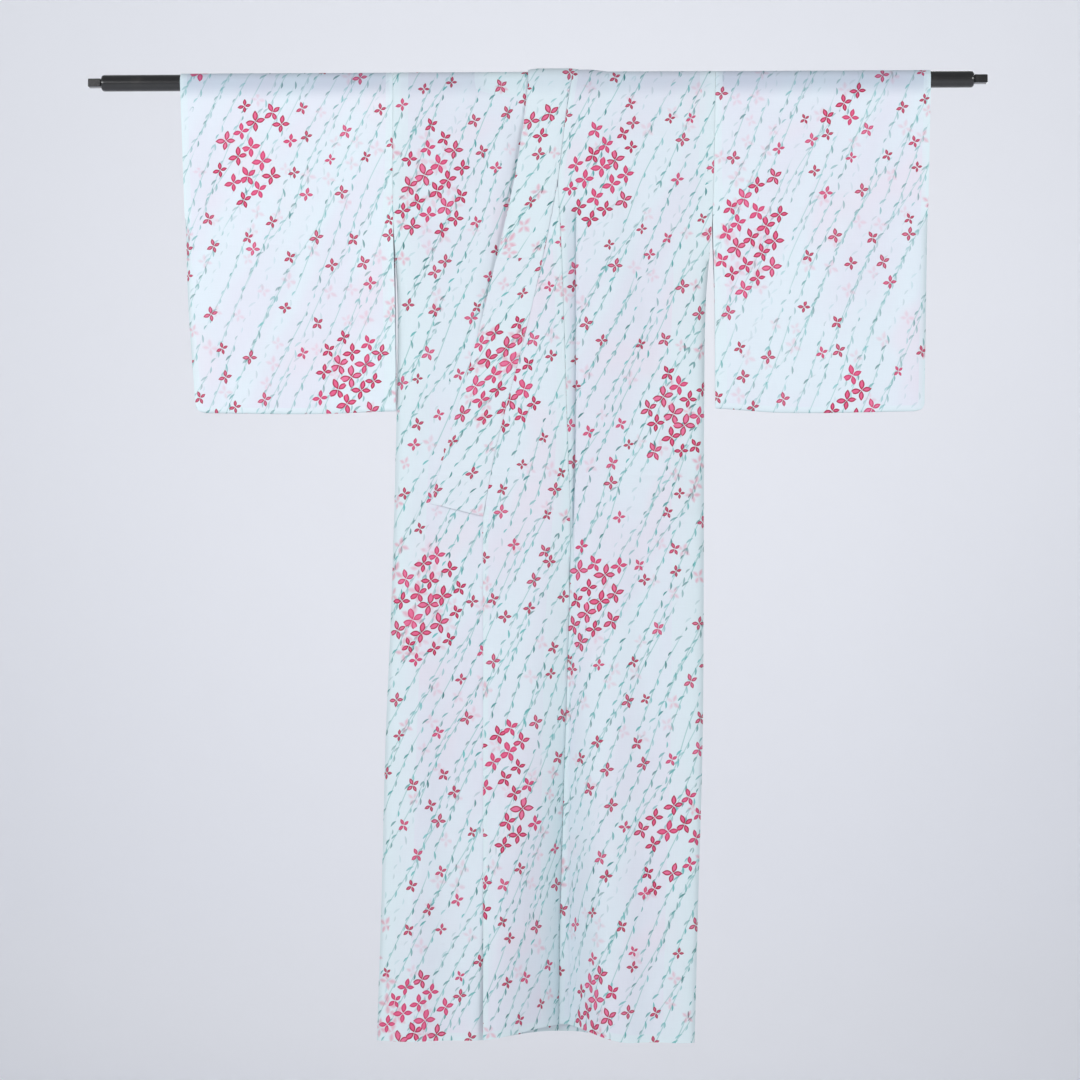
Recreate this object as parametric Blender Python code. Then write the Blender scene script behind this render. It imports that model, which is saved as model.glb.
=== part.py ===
"""A linen kimono hung by a rod through both sleeves, in metres, +Z up.

The origin is the middle of the rod, on its axis. +X is the viewer's right, which is the wearer's
left, and the front of the garment faces -Y. Left and right in the names are the wearer's.

Every sheet of cloth is a thin wall on one common shape. A point of that shape is given by x, by
its drop below the rod's axis, and by its lift off the inner face. A drop under zero lies on the
roll over the rod, and a drop of minus ROLL_ARC is the shoulder line on top of it.
"""
import math
from collections import namedtuple

import bmesh
import bpy

# The rod and the square pegs that hold it in its stand
ROD_RADIUS = 0.014
ROD_LENGTH = 1.482
ROD_END_ROUND = 0.005
ROD_SIDES = 32
ROD_SHARP_ANGLE = math.radians(35)
PEG_WIDTH = 0.014
PEG_LENGTH = 0.022
PEG_EDGE = 0.001

# Walls, seams and layers
GAP = 0.0003
CLOTH_WALL = 0.0015
COLLAR_WALL = 0.0024
OVER_COLLAR_WALL = 0.0014
LAYER_GAP = 0.0009
TOP_LIFT = COLLAR_WALL + LAYER_GAP
OVER_COLLAR_LIFT = TOP_LIFT + COLLAR_WALL + GAP
LIFT_FADE_START = 0.016
LIFT_FADE_END = 0.050
SLOPE_STEP = 0.001
STEEPEST_SLOPE = 2.0
CLOTH_SHARP_ANGLE = math.radians(50)

# Where the garment hangs on the rod
GARMENT_SHIFT = 0.0315
ROLL_SLACK = 0.0006
ROLL = ROD_RADIUS + ROLL_SLACK
ROLL_ARC = ROLL * math.pi / 2

# The three bodies of cloth, from the viewer to the rear, and the way each one faces
TOP = "top front"
UNDER = "under front"
BACK = "back"
FACING = {TOP: -1, UNDER: -1, BACK: 1}

# Body
BODY_LENGTH = 1.617
BODY_HALF_AT_HEM = 0.009
SLEEVE_SEAM = 0.229
SIDE_SEAM_TOP = 0.380
SIDE_ROUND = 0.040
EDGE_REST = 0.050
MEET = GAP / 2

# Collar and neck
COLLAR_TAIL = ROLL * math.radians(25)
COLLAR_END = 0.7188
COLLAR_END_SLANT = 0.0218
COLLAR_SLANT_RUN = 0.120
COLLAR_STEPS = (7, 9)
OVER_COLLAR_END = 0.305
OVER_COLLAR_INSET = 0.0008
NECK_HALF = 0.0450
NECK_DROP = 0.055
NECK_STAND = 0.018
NECK_END_STAND = 0.010

# Overlap panels, and the valley that sinks in along the left one's seam
OVERLAP_SEAM_TOP = 0.170
OVERLAP_TIP = 0.185
OVERLAP_CORNER = COLLAR_END + COLLAR_END_SLANT
OVERLAP_BLEND = 0.040
VALLEY_TOP = 0.200
VALLEY_TOP_DEPTH = 0.0015
VALLEY_HEM_DEPTH = 0.090
VALLEY_GROWTH = 2.2
VALLEY_WIDENING = 1.2
VALLEY_ROUNDING = 0.35
VALLEY_START = 0.06
VALLEY_TOP_REACH = (0.015, 0.012)
VALLEY_HEM_REACH = (0.126, 0.075)
UNDER_EXTRA_DEPTH = 0.004
UNDER_EXTRA_REACH = 0.030
UNDER_EXTRA_FULL = 0.25
TUCK_WIDTH = 0.023
TUCK_FADE = 0.220
TUCK_END = 0.740
HEM_LIFT = 0.016
HEM_LIFT_START = 1.250
UNDER_HEM_LIFT = 0.004

# The fold of spare width down the middle of the back
RIDGE_NECK_HEIGHT = 0.034
RIDGE_HEM_HEIGHT = 0.092
RIDGE_NECK_REACH = 0.100
RIDGE_HEM_REACH = 0.165
RIDGE_HEM_X = 0.010
RIDGE_GROWTH = 1.5

# Sleeves
SLEEVE_NARROWING = 0.55
WRIST_OPENING = 0.215
WRIST_CLOSE = 0.045
SLEEVE_FOOT_ROUND = 0.030
SLEEVE_EDGE_ROUND = 0.035
SLEEVE_CORNER = 0.015
ARMHOLE_BLEND = 0.080

# Outline of the body: x of each side edge by drop, viewer's left and viewer's right
Side = namedtuple("Side", "drop low high")
BODY_SIDES = (
    Side(0.000, -0.2725, 0.2732),
    Side(0.229, -0.2713, 0.2681),
    Side(0.380, -0.2640, 0.2571),
    Side(0.560, -0.2647, 0.2542),
    Side(0.880, -0.2717, 0.2531),
    Side(1.115, -0.2805, 0.2513),
    Side(1.380, -0.2860, 0.2438),
    Side(1.617, -0.2925, 0.2377),
)

# The left collar's free edge and its sewn edge, x by drop
CollarEdge = namedtuple("CollarEdge", "drop free sewn")
COLLAR_EDGES = (
    CollarEdge(0.000, -0.0435, 0.0305),
    CollarEdge(0.063, -0.0495, 0.0205),
    CollarEdge(0.164, -0.0653, 0.0085),
    CollarEdge(0.289, -0.0925, -0.0145),
    CollarEdge(0.440, -0.1290, -0.0490),
    CollarEdge(0.620, -0.1785, -0.0945),
    CollarEdge(0.741, -0.2130, -0.1174),
)

# The left overlap's seam and its free front edge, x by drop
OverlapEdge = namedtuple("OverlapEdge", "drop seam free")
OVERLAP_EDGES = (
    OverlapEdge(0.175, 0.0075, -0.1174),
    OverlapEdge(0.310, 0.0144, -0.1174),
    OverlapEdge(0.580, 0.0234, -0.1174),
    OverlapEdge(0.741, 0.0287, -0.1171),
    OverlapEdge(0.882, 0.0273, -0.1168),
    OverlapEdge(1.149, 0.0194, -0.1160),
    OverlapEdge(1.431, 0.0116, -0.1150),
    OverlapEdge(1.617, 0.0095, -0.1145),
)

# How far each sleeve stands off the body's edge below its seam, and x of its wrist edge, by drop
SleeveEdge = namedtuple("SleeveEdge", "drop stand_off wrist")
SLEEVE_LEFT_EDGES = (
    SleeveEdge(0.000, 0.0000, 0.6352),
    SleeveEdge(0.229, 0.0000, 0.6300),
    SleeveEdge(0.380, 0.0146, 0.6270),
    SleeveEdge(0.570, 0.0188, 0.6235),
)
SLEEVE_RIGHT_EDGES = (
    SleeveEdge(0.000, 0.0000, 0.6355),
    SleeveEdge(0.229, 0.0000, 0.6260),
    SleeveEdge(0.380, 0.0037, 0.6203),
    SleeveEdge(0.570, 0.0007, 0.6050),
)

# A sleeve's foot dips a little between its edges: drop at a share of the way to the wrist
FootDip = namedtuple("FootDip", "drop depth")
SLEEVE_LEFT_FOOT = (FootDip(0.0, 0.5575), FootDip(0.4, 0.5655), FootDip(1.0, 0.5625))
SLEEVE_RIGHT_FOOT = (FootDip(0.0, 0.5620), FootDip(0.5, 0.5670), FootDip(1.0, 0.5650))

# Soft folds. A depth above zero moves the cloth to the rear, below zero toward the viewer. A fold
# fades in over the first share of its length and out over the last
FOLD_FADED_IN = 0.25
FOLD_FADES_OUT = 0.90
Fold = namedtuple("Fold", "top foot top_x foot_x reach top_depth foot_depth")
FRONT_FOLDS = (
    Fold(0.06, 0.80, -0.080, -0.215, 0.075, 0.003, 0.006),
    Fold(0.78, 1.75, -0.150, -0.165, 0.070, 0.003, 0.012),
    Fold(0.70, 1.75, -0.235, -0.238, 0.055, -0.002, -0.007),
    Fold(0.10, 0.70, 0.150, 0.135, 0.060, 0.003, 0.003),
    Fold(0.62, 1.75, 0.095, 0.112, 0.048, -0.002, -0.006),
    Fold(0.85, 1.75, 0.178, 0.170, 0.050, 0.002, 0.008),
)
BACK_FOLDS = (
    Fold(0.08, 1.00, -0.165, -0.180, 0.070, 0.004, 0.005),
    Fold(0.60, 1.75, -0.215, -0.205, 0.055, 0.003, 0.012),
    Fold(0.12, 0.90, 0.160, 0.150, 0.065, 0.004, 0.004),
    Fold(0.75, 1.75, 0.185, 0.190, 0.050, 0.003, 0.010),
)
SLEEVE_FOLDS = (
    Fold(0.05, 0.70, 0.365, 0.350, 0.050, 0.001, 0.003),
    Fold(0.10, 0.70, 0.480, 0.500, 0.060, -0.002, -0.003),
    Fold(0.00, 0.50, 0.570, 0.575, 0.040, 0.001, 0.002),
)

# Where rows of faces cross the cloth: degrees from the shoulder line on the roll, then drops
ROLL_ROWS = (22.5, 45.0, 67.5)
BODY_ROWS = (
    0.000, 0.020, 0.055, 0.100, 0.145, 0.185, 0.229, 0.280, 0.330, 0.380, 0.450, 0.530, 0.620,
    0.700, 0.741, 0.780, 0.860, 0.960, 1.060, 1.160, 1.250, 1.340, 1.430, 1.500, 1.560, 1.617,
)
NECK_ROWS = (0.000, 0.012, 0.024, 0.035, 0.044, 0.051, 0.0543, NECK_DROP)
SLEEVE_ROWS = (0.000, 0.050, 0.110, 0.170, 0.229, 0.290, 0.360, 0.440, 0.510)
FOOT_SHARES = (1.0, 0.5, 0.13, 0.0)

# The long panels are parted across, so that each stretch is a simple solid round the hollow
Stretch = namedtuple("Stretch", "name start end")
BODY_STRETCHES = (
    Stretch("upper", -ROLL_ARC, 0.450),
    Stretch("waist", 0.450, 0.860),
    Stretch("skirt", 0.860, 1.250),
    Stretch("hem", 1.250, BODY_LENGTH),
)
OVERLAP_STRETCHES = (Stretch("waist", OVERLAP_TIP, 0.860),) + BODY_STRETCHES[2:]
COLLAR_STRETCHES = (
    Stretch("upper", -ROLL_ARC - COLLAR_TAIL, OVER_COLLAR_END),
    Stretch("lower", OVER_COLLAR_END, COLLAR_END),
)

# Colours
LINEN = (0.80, 0.85, 0.90, 1.0)
LACQUER = (0.012, 0.012, 0.014, 1.0)


def clear_scene():
    """Remove every object that the scene starts with."""
    for item in list(bpy.data.objects):
        bpy.data.objects.remove(item, do_unlink=True)


def make_material(name, colour, roughness):
    """A plain Principled material."""
    material = bpy.data.materials.new(name)
    material.use_nodes = True
    shader = material.node_tree.nodes["Principled BSDF"]
    shader.inputs["Base Color"].default_value = colour
    shader.inputs["Roughness"].default_value = roughness
    shader.inputs["Metallic"].default_value = 0.0
    return material


def add_object(name, mesh, material, parent=None):
    """Link a finished mesh into the scene as one named object."""
    mesh.materials.append(material)
    item = bpy.data.objects.new(name, mesh)
    item.parent = parent
    bpy.context.collection.objects.link(item)
    return item


def ease(value, start, end):
    """Smooth step from 0 at start to 1 at end."""
    share = min(max((value - start) / (end - start), 0.0), 1.0)
    return share * share * (3.0 - 2.0 * share)


def mix(first, second, share):
    """Straight blend of two numbers."""
    return first + (second - first) * share


def along(rows, column, drop):
    """Value of a table's column at a drop, on a smooth curve through the rows."""
    last = len(rows) - 1
    index = 0
    while index < last - 1 and drop > rows[index + 1].drop:
        index += 1
    above = rows[max(index - 1, 0)]
    start = rows[index]
    end = rows[index + 1]
    below = rows[min(index + 2, last)]
    span = end.drop - start.drop
    share = min(max((drop - start.drop) / span, 0.0), 1.0)
    first = getattr(start, column)
    second = getattr(end, column)
    first_slope = (second - getattr(above, column)) / (end.drop - above.drop) * span
    second_slope = (getattr(below, column) - first) / (below.drop - start.drop) * span
    square = share * share
    cube = square * share
    return (
        first * (2.0 * cube - 3.0 * square + 1.0)
        + first_slope * (cube - 2.0 * square + share)
        + second * (3.0 * square - 2.0 * cube)
        + second_slope * (cube - square)
    )


def fold_sum(folds, x, drop):
    """Depth that a table of soft folds gives at one place."""
    total = 0.0
    for fold in folds:
        share = min(max((drop - fold.top) / (fold.foot - fold.top), 0.0), 1.0)
        away = abs(x - mix(fold.top_x, fold.foot_x, share)) / fold.reach
        if away < 1.0 and drop > fold.top:
            fade = ease(share, 0.0, FOLD_FADED_IN) * (1.0 - ease(share, FOLD_FADES_OUT, 1.0))
            total += mix(fold.top_depth, fold.foot_depth, share) * fade * (1.0 - away * away) ** 2
    return total


def body_middle(drop):
    """x half way between the body's two side edges."""
    return (along(BODY_SIDES, "low", drop) + along(BODY_SIDES, "high", drop)) / 2


def mirrored(edge):
    """The same edge on the body's other half, for the layer underneath."""
    return lambda drop: 2 * body_middle(drop) - edge(drop)


def collar_free(drop):
    """Free edge of the left collar."""
    return along(COLLAR_EDGES, "free", drop)


def collar_sewn(drop):
    """Sewn edge of the left collar."""
    return along(COLLAR_EDGES, "sewn", drop)


def overlap_seam(drop):
    """Seam between the left front and its overlap."""
    return along(OVERLAP_EDGES, "seam", drop)


def overlap_front(drop):
    """Front edge of the left overlap: against the collar, then free below the collar's end."""
    if drop < OVERLAP_CORNER:
        return collar_sewn(drop) + GAP
    return along(OVERLAP_EDGES, "free", drop)


def front_inner(drop):
    """Inner edge of the left front: against the collar, then against the overlap."""
    if drop >= OVERLAP_TIP:
        return overlap_seam(drop) + GAP / 2
    if drop > OVERLAP_SEAM_TOP:
        return max(collar_sewn(drop), overlap_seam(drop)) + GAP
    return collar_sewn(drop) + GAP


def side_low(drop):
    """The body's side edge on the viewer's left."""
    return along(BODY_SIDES, "low", drop)


def side_high(drop):
    """The body's side edge on the viewer's right."""
    return along(BODY_SIDES, "high", drop)


def valley(layer, x, drop):
    """How far the front sinks in along the left overlap's seam, softer in the under layer."""
    share = (drop - VALLEY_TOP) / (BODY_LENGTH - VALLEY_TOP)
    if share <= 0.0:
        return 0.0
    depth = mix(VALLEY_TOP_DEPTH, VALLEY_HEM_DEPTH, share ** VALLEY_GROWTH)
    away = overlap_seam(drop) - x
    side = 0
    if away < 0.0:
        side = 1
        away = max(-away - TUCK_WIDTH * (1.0 - ease(drop, TUCK_FADE, TUCK_END)), 0.0)
    grown = min(share, 1.0) ** VALLEY_WIDENING
    reach = mix(VALLEY_TOP_REACH[side], VALLEY_HEM_REACH[side], grown)
    start = ease(share, 0.0, VALLEY_START)
    if layer == UNDER:
        depth += UNDER_EXTRA_DEPTH * ease(share, 0.0, UNDER_EXTRA_FULL)
        away = min(away / (reach + UNDER_EXTRA_REACH), 1.0)
        return depth * (1.0 - away * away) ** 2 * start
    rest = max(1.0 - away / reach, 0.0)
    return depth * rest * rest * (1.0 + VALLEY_ROUNDING * (1.0 - rest)) * start


def back_ridge(x, drop):
    """How far the spare width stands out down the middle of the back."""
    share = min(drop / BODY_LENGTH, 1.0)
    height = mix(RIDGE_NECK_HEIGHT, RIDGE_HEM_HEIGHT, share ** RIDGE_GROWTH)
    height *= min(drop / NECK_DROP, 1.0)
    reach = mix(RIDGE_NECK_REACH, RIDGE_HEM_REACH, share)
    away = min(abs(x - RIDGE_HEM_X * share) / reach, 1.0)
    return height * (1.0 - away * away) ** 2


def body_fold(layer, x, drop):
    """Depth of all folds at one place of the body, fading at its side edges."""
    to_side = min(x - side_low(drop), side_high(drop) - x)
    rest = ease(to_side, 0.0, EDGE_REST)
    if layer == BACK:
        return (back_ridge(x, drop) + fold_sum(BACK_FOLDS, x, drop)) * rest
    return valley(layer, x, drop) + fold_sum(FRONT_FOLDS, x, drop) * rest


def body_half(x, drop):
    """Half the hollow's depth: the rod's at the top, closed at the side seams lower down."""
    middle = mix(ROLL, BODY_HALF_AT_HEM, ease(drop, 0.0, BODY_LENGTH))
    closing = ease(drop, SLEEVE_SEAM, SIDE_SEAM_TOP)
    to_side = max(min(x - side_low(drop), side_high(drop) - x), 0.0)
    away = 1.0 - min(to_side / SIDE_ROUND, 1.0)
    rounded = math.sqrt(1.0 - away * away)
    return mix(middle, mix(MEET, middle, rounded), closing)


def body_depth(layer, x, drop):
    """y of the body's inner face."""
    return FACING[layer] * body_half(x, drop) + body_fold(layer, x, drop)


def lie(depth, layer, x, drop, lift):
    """The point at x and drop, lifted off the inner face."""
    facing = FACING[layer]
    if drop <= 0.0:
        turn = (drop + ROLL_ARC) / ROLL
        reach = ROLL + lift
        return (x, facing * reach * math.sin(turn), reach * math.cos(turn))
    rise = depth(layer, x + SLOPE_STEP, drop) - depth(layer, x - SLOPE_STEP, drop)
    slope = min(abs(rise / (2 * SLOPE_STEP)), STEEPEST_SLOPE)
    return (x, depth(layer, x, drop) + facing * lift * math.hypot(1.0, slope), -drop)


def under_limit(drop):
    """How far the under layers reach below the top ones, toward the viewer's right."""
    collar = mirrored(collar_free)(drop)
    overlap = mirrored(lambda low: along(OVERLAP_EDGES, "free", low))(drop)
    return mix(collar, overlap, ease(drop, OVERLAP_CORNER, OVERLAP_CORNER + OVERLAP_BLEND))


def top_lift(x, drop):
    """Lift of the top front: over the under layers, and down on the inner face beside them."""
    limit = under_limit(drop)
    return TOP_LIFT * (1.0 - ease(x, limit + LIFT_FADE_START, limit + LIFT_FADE_END))


def no_lift(x, drop):
    """Lift of what lies on the inner face itself."""
    return 0.0


def wall_mesh(name, inner, outer):
    """Closed wall between two grids of points with equal rows and columns."""
    rows = len(inner)
    columns = len(inner[0])
    work = bmesh.new()
    grids = [[[work.verts.new(point) for point in row] for row in grid] for grid in (inner, outer)]
    for grid in grids:
        for row in range(rows - 1):
            for column in range(columns - 1):
                near = (grid[row][column], grid[row][column + 1])
                far = (grid[row + 1][column + 1], grid[row + 1][column])
                work.faces.new(near + far)
    rim = [(0, column) for column in range(columns)]
    rim += [(row, columns - 1) for row in range(1, rows)]
    rim += [(rows - 1, column) for column in range(columns - 2, -1, -1)]
    rim += [(row, 0) for row in range(rows - 2, 0, -1)]
    for start, end in zip(rim, rim[1:] + rim[:1]):
        first = (grids[0][start[0]][start[1]], grids[0][end[0]][end[1]])
        second = (grids[1][end[0]][end[1]], grids[1][start[0]][start[1]])
        work.faces.new(first + second)
    bmesh.ops.recalc_face_normals(work, faces=work.faces)
    mesh = bpy.data.meshes.new(name)
    work.to_mesh(mesh)
    work.free()
    mesh.shade_smooth()
    mesh.set_sharp_from_angle(angle=CLOTH_SHARP_ANGLE)
    return mesh


def roll_drops():
    """Drops of the rows on the roll over the rod, from the shoulder line down."""
    return [ROLL * math.radians(angle) - ROLL_ARC for angle in ROLL_ROWS]


def rows_of(stretch, rows):
    """Rows of one stretch of cloth, half a seam's gap short of its neighbours."""
    inside = [row for row in rows if stretch.start < row < stretch.end]
    return [stretch.start + GAP / 2] + inside + [stretch.end - GAP / 2]


def hem_drop(row, x, lifted):
    """Drop of a row near the hem, which rises where the cloth is drawn into the valley."""
    pull = ease(row, HEM_LIFT_START, BODY_LENGTH)
    return row - lifted * pull * valley(UNDER, x, row) / VALLEY_HEM_DEPTH


def body_panel(name, layer, rows, low, high, shares, lift, wall, hem_lift):
    """A stretch of a body panel between two edges, as one wall."""
    inner = []
    outer = []
    for row in rows:
        start = low(row)
        end = high(row)
        points = [mix(start, end, share) for share in shares]
        drops = [hem_drop(row, x, hem_lift) for x in points]
        lifts = [lift(x, drop) for x, drop in zip(points, drops)]
        inner.append([lie(body_depth, layer, *place) for place in zip(points, drops, lifts)])
        lifts = [value + wall for value in lifts]
        outer.append([lie(body_depth, layer, *place) for place in zip(points, drops, lifts)])
    return wall_mesh(name, inner, outer)


def sew_fronts(linen, garment):
    """The two fronts: the left lies on top, the right under it."""
    table = roll_drops() + list(BODY_ROWS)
    seam_side = (0.0, 0.045, 0.09, 0.11, 0.16, 0.24, 0.36, 0.50, 0.64, 0.76, 0.86, 0.93, 0.975, 1.0)
    side_seam = (0.0, 0.025, 0.07, 0.14, 0.24, 0.36, 0.50, 0.62, 0.74, 0.86, 0.94, 1.0)
    for stretch in BODY_STRETCHES:
        rows = rows_of(stretch, table)
        left = "front_left_" + stretch.name
        right = "front_right_" + stretch.name
        top = body_panel(
            left, TOP, rows, front_inner, side_high, seam_side, top_lift, CLOTH_WALL, HEM_LIFT
        )
        under = body_panel(
            right, UNDER, rows, side_low, mirrored(front_inner), side_seam, no_lift, CLOTH_WALL,
            UNDER_HEM_LIFT,
        )
        add_object(left, top, linen, garment)
        add_object(right, under, linen, garment)


def sew_overlaps(linen, garment):
    """The overlap panels, from their tip beside the collar down to the hem."""
    shares = (0.0, 0.18, 0.38, 0.58, 0.76, 0.90, 1.0)

    def seam(drop):
        return overlap_seam(drop) - GAP / 2

    for stretch in OVERLAP_STRETCHES:
        rows = rows_of(stretch, BODY_ROWS)
        left = "overlap_left_" + stretch.name
        right = "overlap_right_" + stretch.name
        top = body_panel(
            left, TOP, rows, overlap_front, seam, shares, top_lift, CLOTH_WALL, HEM_LIFT
        )
        under = body_panel(
            right, UNDER, rows, mirrored(seam), mirrored(overlap_front), shares, no_lift, CLOTH_WALL,
            UNDER_HEM_LIFT,
        )
        add_object(left, top, linen, garment)
        add_object(right, under, linen, garment)


def neck_cut(drop):
    """Half the width of the neck's cut in the back panels, at a drop."""
    share = min(max(drop / NECK_DROP, 0.0), 1.0)
    return NECK_HALF * math.sqrt(1.0 - share * share)


def sew_backs(linen, garment):
    """The two backs, cut out round the neck and sewn together down the middle."""
    table = roll_drops() + list(NECK_ROWS) + [row for row in BODY_ROWS if row > NECK_DROP]
    shares = (0.0, 0.08, 0.17, 0.27, 0.38, 0.50, 0.62, 0.74, 0.85, 0.93, 0.975, 1.0)
    turned = [1.0 - share for share in reversed(shares)]

    def middle_seam(drop):
        return body_middle(drop) * ease(drop, NECK_DROP, BODY_LENGTH)

    def left_inner(drop):
        return middle_seam(drop) + neck_cut(drop) + GAP / 2

    def right_inner(drop):
        return middle_seam(drop) - neck_cut(drop) - GAP / 2

    for stretch in BODY_STRETCHES:
        rows = rows_of(stretch, table)
        left = "back_left_" + stretch.name
        right = "back_right_" + stretch.name
        near = body_panel(
            left, BACK, rows, left_inner, side_high, shares, no_lift, CLOTH_WALL, HEM_LIFT
        )
        far = body_panel(
            right, BACK, rows, side_low, right_inner, turned, no_lift, CLOTH_WALL, HEM_LIFT
        )
        add_object(left, near, linen, garment)
        add_object(right, far, linen, garment)


def collar_rows():
    """Rows of the collars, from their tails behind the rod down to their ends."""
    rows = [-ROLL_ARC - COLLAR_TAIL / 2, -ROLL_ARC] + roll_drops()
    for stretch, steps in zip(COLLAR_STRETCHES, COLLAR_STEPS):
        start = max(stretch.start, 0.0)
        rows += [mix(start, stretch.end, index / steps) for index in range(steps)]
    return rows


def collar_mesh(name, layer, free, sewn, rows, slant, lift, wall, inset):
    """A stretch of collar between its free edge and its sewn edge."""
    shares = (0.0, 0.33, 0.67, 1.0)
    inner = []
    outer = []
    for row in rows:
        row_slant = slant * ease(row, COLLAR_END - COLLAR_SLANT_RUN, COLLAR_END)
        start = free(row)
        finish = sewn(row + row_slant)
        sense = math.copysign(inset, finish - start)
        start += sense
        finish -= sense
        places = [(mix(start, finish, share), row + row_slant * share) for share in shares]
        inner.append([lie(body_depth, layer, x, drop, lift) for x, drop in places])
        outer.append([lie(body_depth, layer, x, drop, lift + wall) for x, drop in places])
    return wall_mesh(name, inner, outer)


def sew_collars(linen, garment):
    """The left collar on top, the right one under it, and the over-collar on the left."""
    for stretch in COLLAR_STRETCHES:
        rows = rows_of(stretch, collar_rows())
        left = "collar_left_" + stretch.name
        right = "collar_right_" + stretch.name
        top = collar_mesh(
            left, TOP, collar_free, collar_sewn, rows, COLLAR_END_SLANT, TOP_LIFT, COLLAR_WALL, 0.0
        )
        under = collar_mesh(
            right, UNDER, mirrored(collar_free), mirrored(collar_sewn), rows, COLLAR_END_SLANT, 0.0,
            COLLAR_WALL, 0.0,
        )
        add_object(left, top, linen, garment)
        add_object(right, under, linen, garment)
    rows = rows_of(COLLAR_STRETCHES[0], collar_rows())
    over = collar_mesh(
        "over_collar", TOP, collar_free, collar_sewn, rows, 0.0, OVER_COLLAR_LIFT,
        OVER_COLLAR_WALL, OVER_COLLAR_INSET,
    )
    add_object("over_collar", over, linen, garment)


def neck_path():
    """Points (x, y, drop) just inside the neck's cut, from the left shoulder round to the right."""
    points = []
    for sense, drops in ((1, NECK_ROWS), (-1, tuple(reversed(NECK_ROWS))[1:])):
        for drop in drops:
            x = sense * neck_cut(drop) * (1.0 - GAP / NECK_HALF)
            points.append((x, ROLL if drop <= 0.0 else body_depth(BACK, x, drop), drop))
    return points


def sew_neck(linen, garment):
    """The stretch of collar that stands round the back of the neck."""
    path = neck_path()
    last = len(path) - 1
    inner = []
    outer = []
    for station, (x, y, drop) in enumerate(path):
        behind = path[max(station - 1, 0)]
        ahead = path[min(station + 1, last)]
        run = (ahead[0] - behind[0], ahead[1] - behind[1])
        length = math.hypot(*run)
        inward = (-run[1] / length * COLLAR_WALL, run[0] / length * COLLAR_WALL)
        low = GAP - drop
        high = mix(NECK_END_STAND, NECK_STAND, drop / NECK_DROP)
        heights = [mix(low, high, share) for share in (0.0, 0.5, 1.0)]
        outer.append([(x, y, z) for z in heights])
        inner.append([(x + inward[0], max(y + inward[1], ROLL), z) for z in heights])
    add_object("collar_neck", wall_mesh("collar_neck", inner, outer), linen, garment)


def sleeve_mesh(name, layer, sense, edges, foot):
    """One sheet of a sleeve, on the viewer's right with a sense of 1 and left with -1."""

    def body_edge(drop):
        side = side_high(drop) if sense > 0 else -side_low(drop)
        return side + GAP + max(along(edges, "stand_off", drop), 0.0)

    def wrist_edge(drop):
        away = max(drop - (along(foot, "depth", 1.0) - SLEEVE_CORNER), 0.0)
        away = min(away, SLEEVE_CORNER)
        return along(edges, "wrist", drop) - SLEEVE_CORNER + math.sqrt(SLEEVE_CORNER ** 2 - away ** 2)

    def half(x, drop):
        from_body = x - body_edge(drop)
        share = from_body / (along(edges, "wrist", drop) - body_edge(drop))
        foot_drop = along(foot, "depth", share)
        depth = ROLL * (1.0 - SLEEVE_NARROWING * ease(drop, 0.0, foot_drop))
        joined = 1.0 - ease(from_body, 0.0, ARMHOLE_BLEND)
        joined *= 1.0 - ease(drop, SLEEVE_SEAM, SIDE_SEAM_TOP)
        depth = mix(depth, ROLL, joined)
        low = 1.0 - min(max(foot_drop - drop, 0.0) / SLEEVE_FOOT_ROUND, 1.0)
        depth = mix(MEET, depth, math.sqrt(1.0 - low * low))
        closing = ease(drop, WRIST_OPENING, WRIST_OPENING + WRIST_CLOSE)
        to_wrist = max(wrist_edge(drop) - x, 0.0)
        far = 1.0 - min(to_wrist / SLEEVE_EDGE_ROUND, 1.0)
        return mix(depth, mix(MEET, depth, math.sqrt(1.0 - far * far)), closing)

    def depth(layer, x, drop):
        span = abs(x)
        rest = ease(span - body_edge(drop), 0.0, EDGE_REST)
        rest *= ease(wrist_edge(drop) - span, 0.0, EDGE_REST)
        return FACING[layer] * half(span, drop) + fold_sum(SLEEVE_FOLDS, span, drop) * rest

    shares = (0.0, 0.12, 0.26, 0.42, 0.58, 0.72, 0.84, 0.92, 0.97, 1.0)
    rows = [(drop, None) for drop in [GAP / 2 - ROLL_ARC] + roll_drops() + list(SLEEVE_ROWS)]
    rows += [(None, share * SLEEVE_FOOT_ROUND) for share in FOOT_SHARES]
    inner = []
    outer = []
    for drop, above_foot in rows:
        low_row = []
        high_row = []
        for share in shares:
            row = drop if above_foot is None else along(foot, "depth", share) - above_foot
            x = mix(body_edge(row), wrist_edge(row), share)
            low_row.append(lie(depth, layer, sense * x, row, 0.0))
            high_row.append(lie(depth, layer, sense * x, row, CLOTH_WALL))
        inner.append(low_row)
        outer.append(high_row)
    return wall_mesh(name, inner, outer)


def sew_sleeves(linen, garment):
    """Front and back sheet of both sleeves."""
    cuts = (
        ("sleeve_left", 1, SLEEVE_LEFT_EDGES, SLEEVE_LEFT_FOOT),
        ("sleeve_right", -1, SLEEVE_RIGHT_EDGES, SLEEVE_RIGHT_FOOT),
    )
    for stem, sense, edges, foot in cuts:
        for suffix, layer in (("front", TOP), ("back", BACK)):
            name = f"{stem}_{suffix}"
            add_object(name, sleeve_mesh(name, layer, sense, edges, foot), linen, garment)


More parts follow.
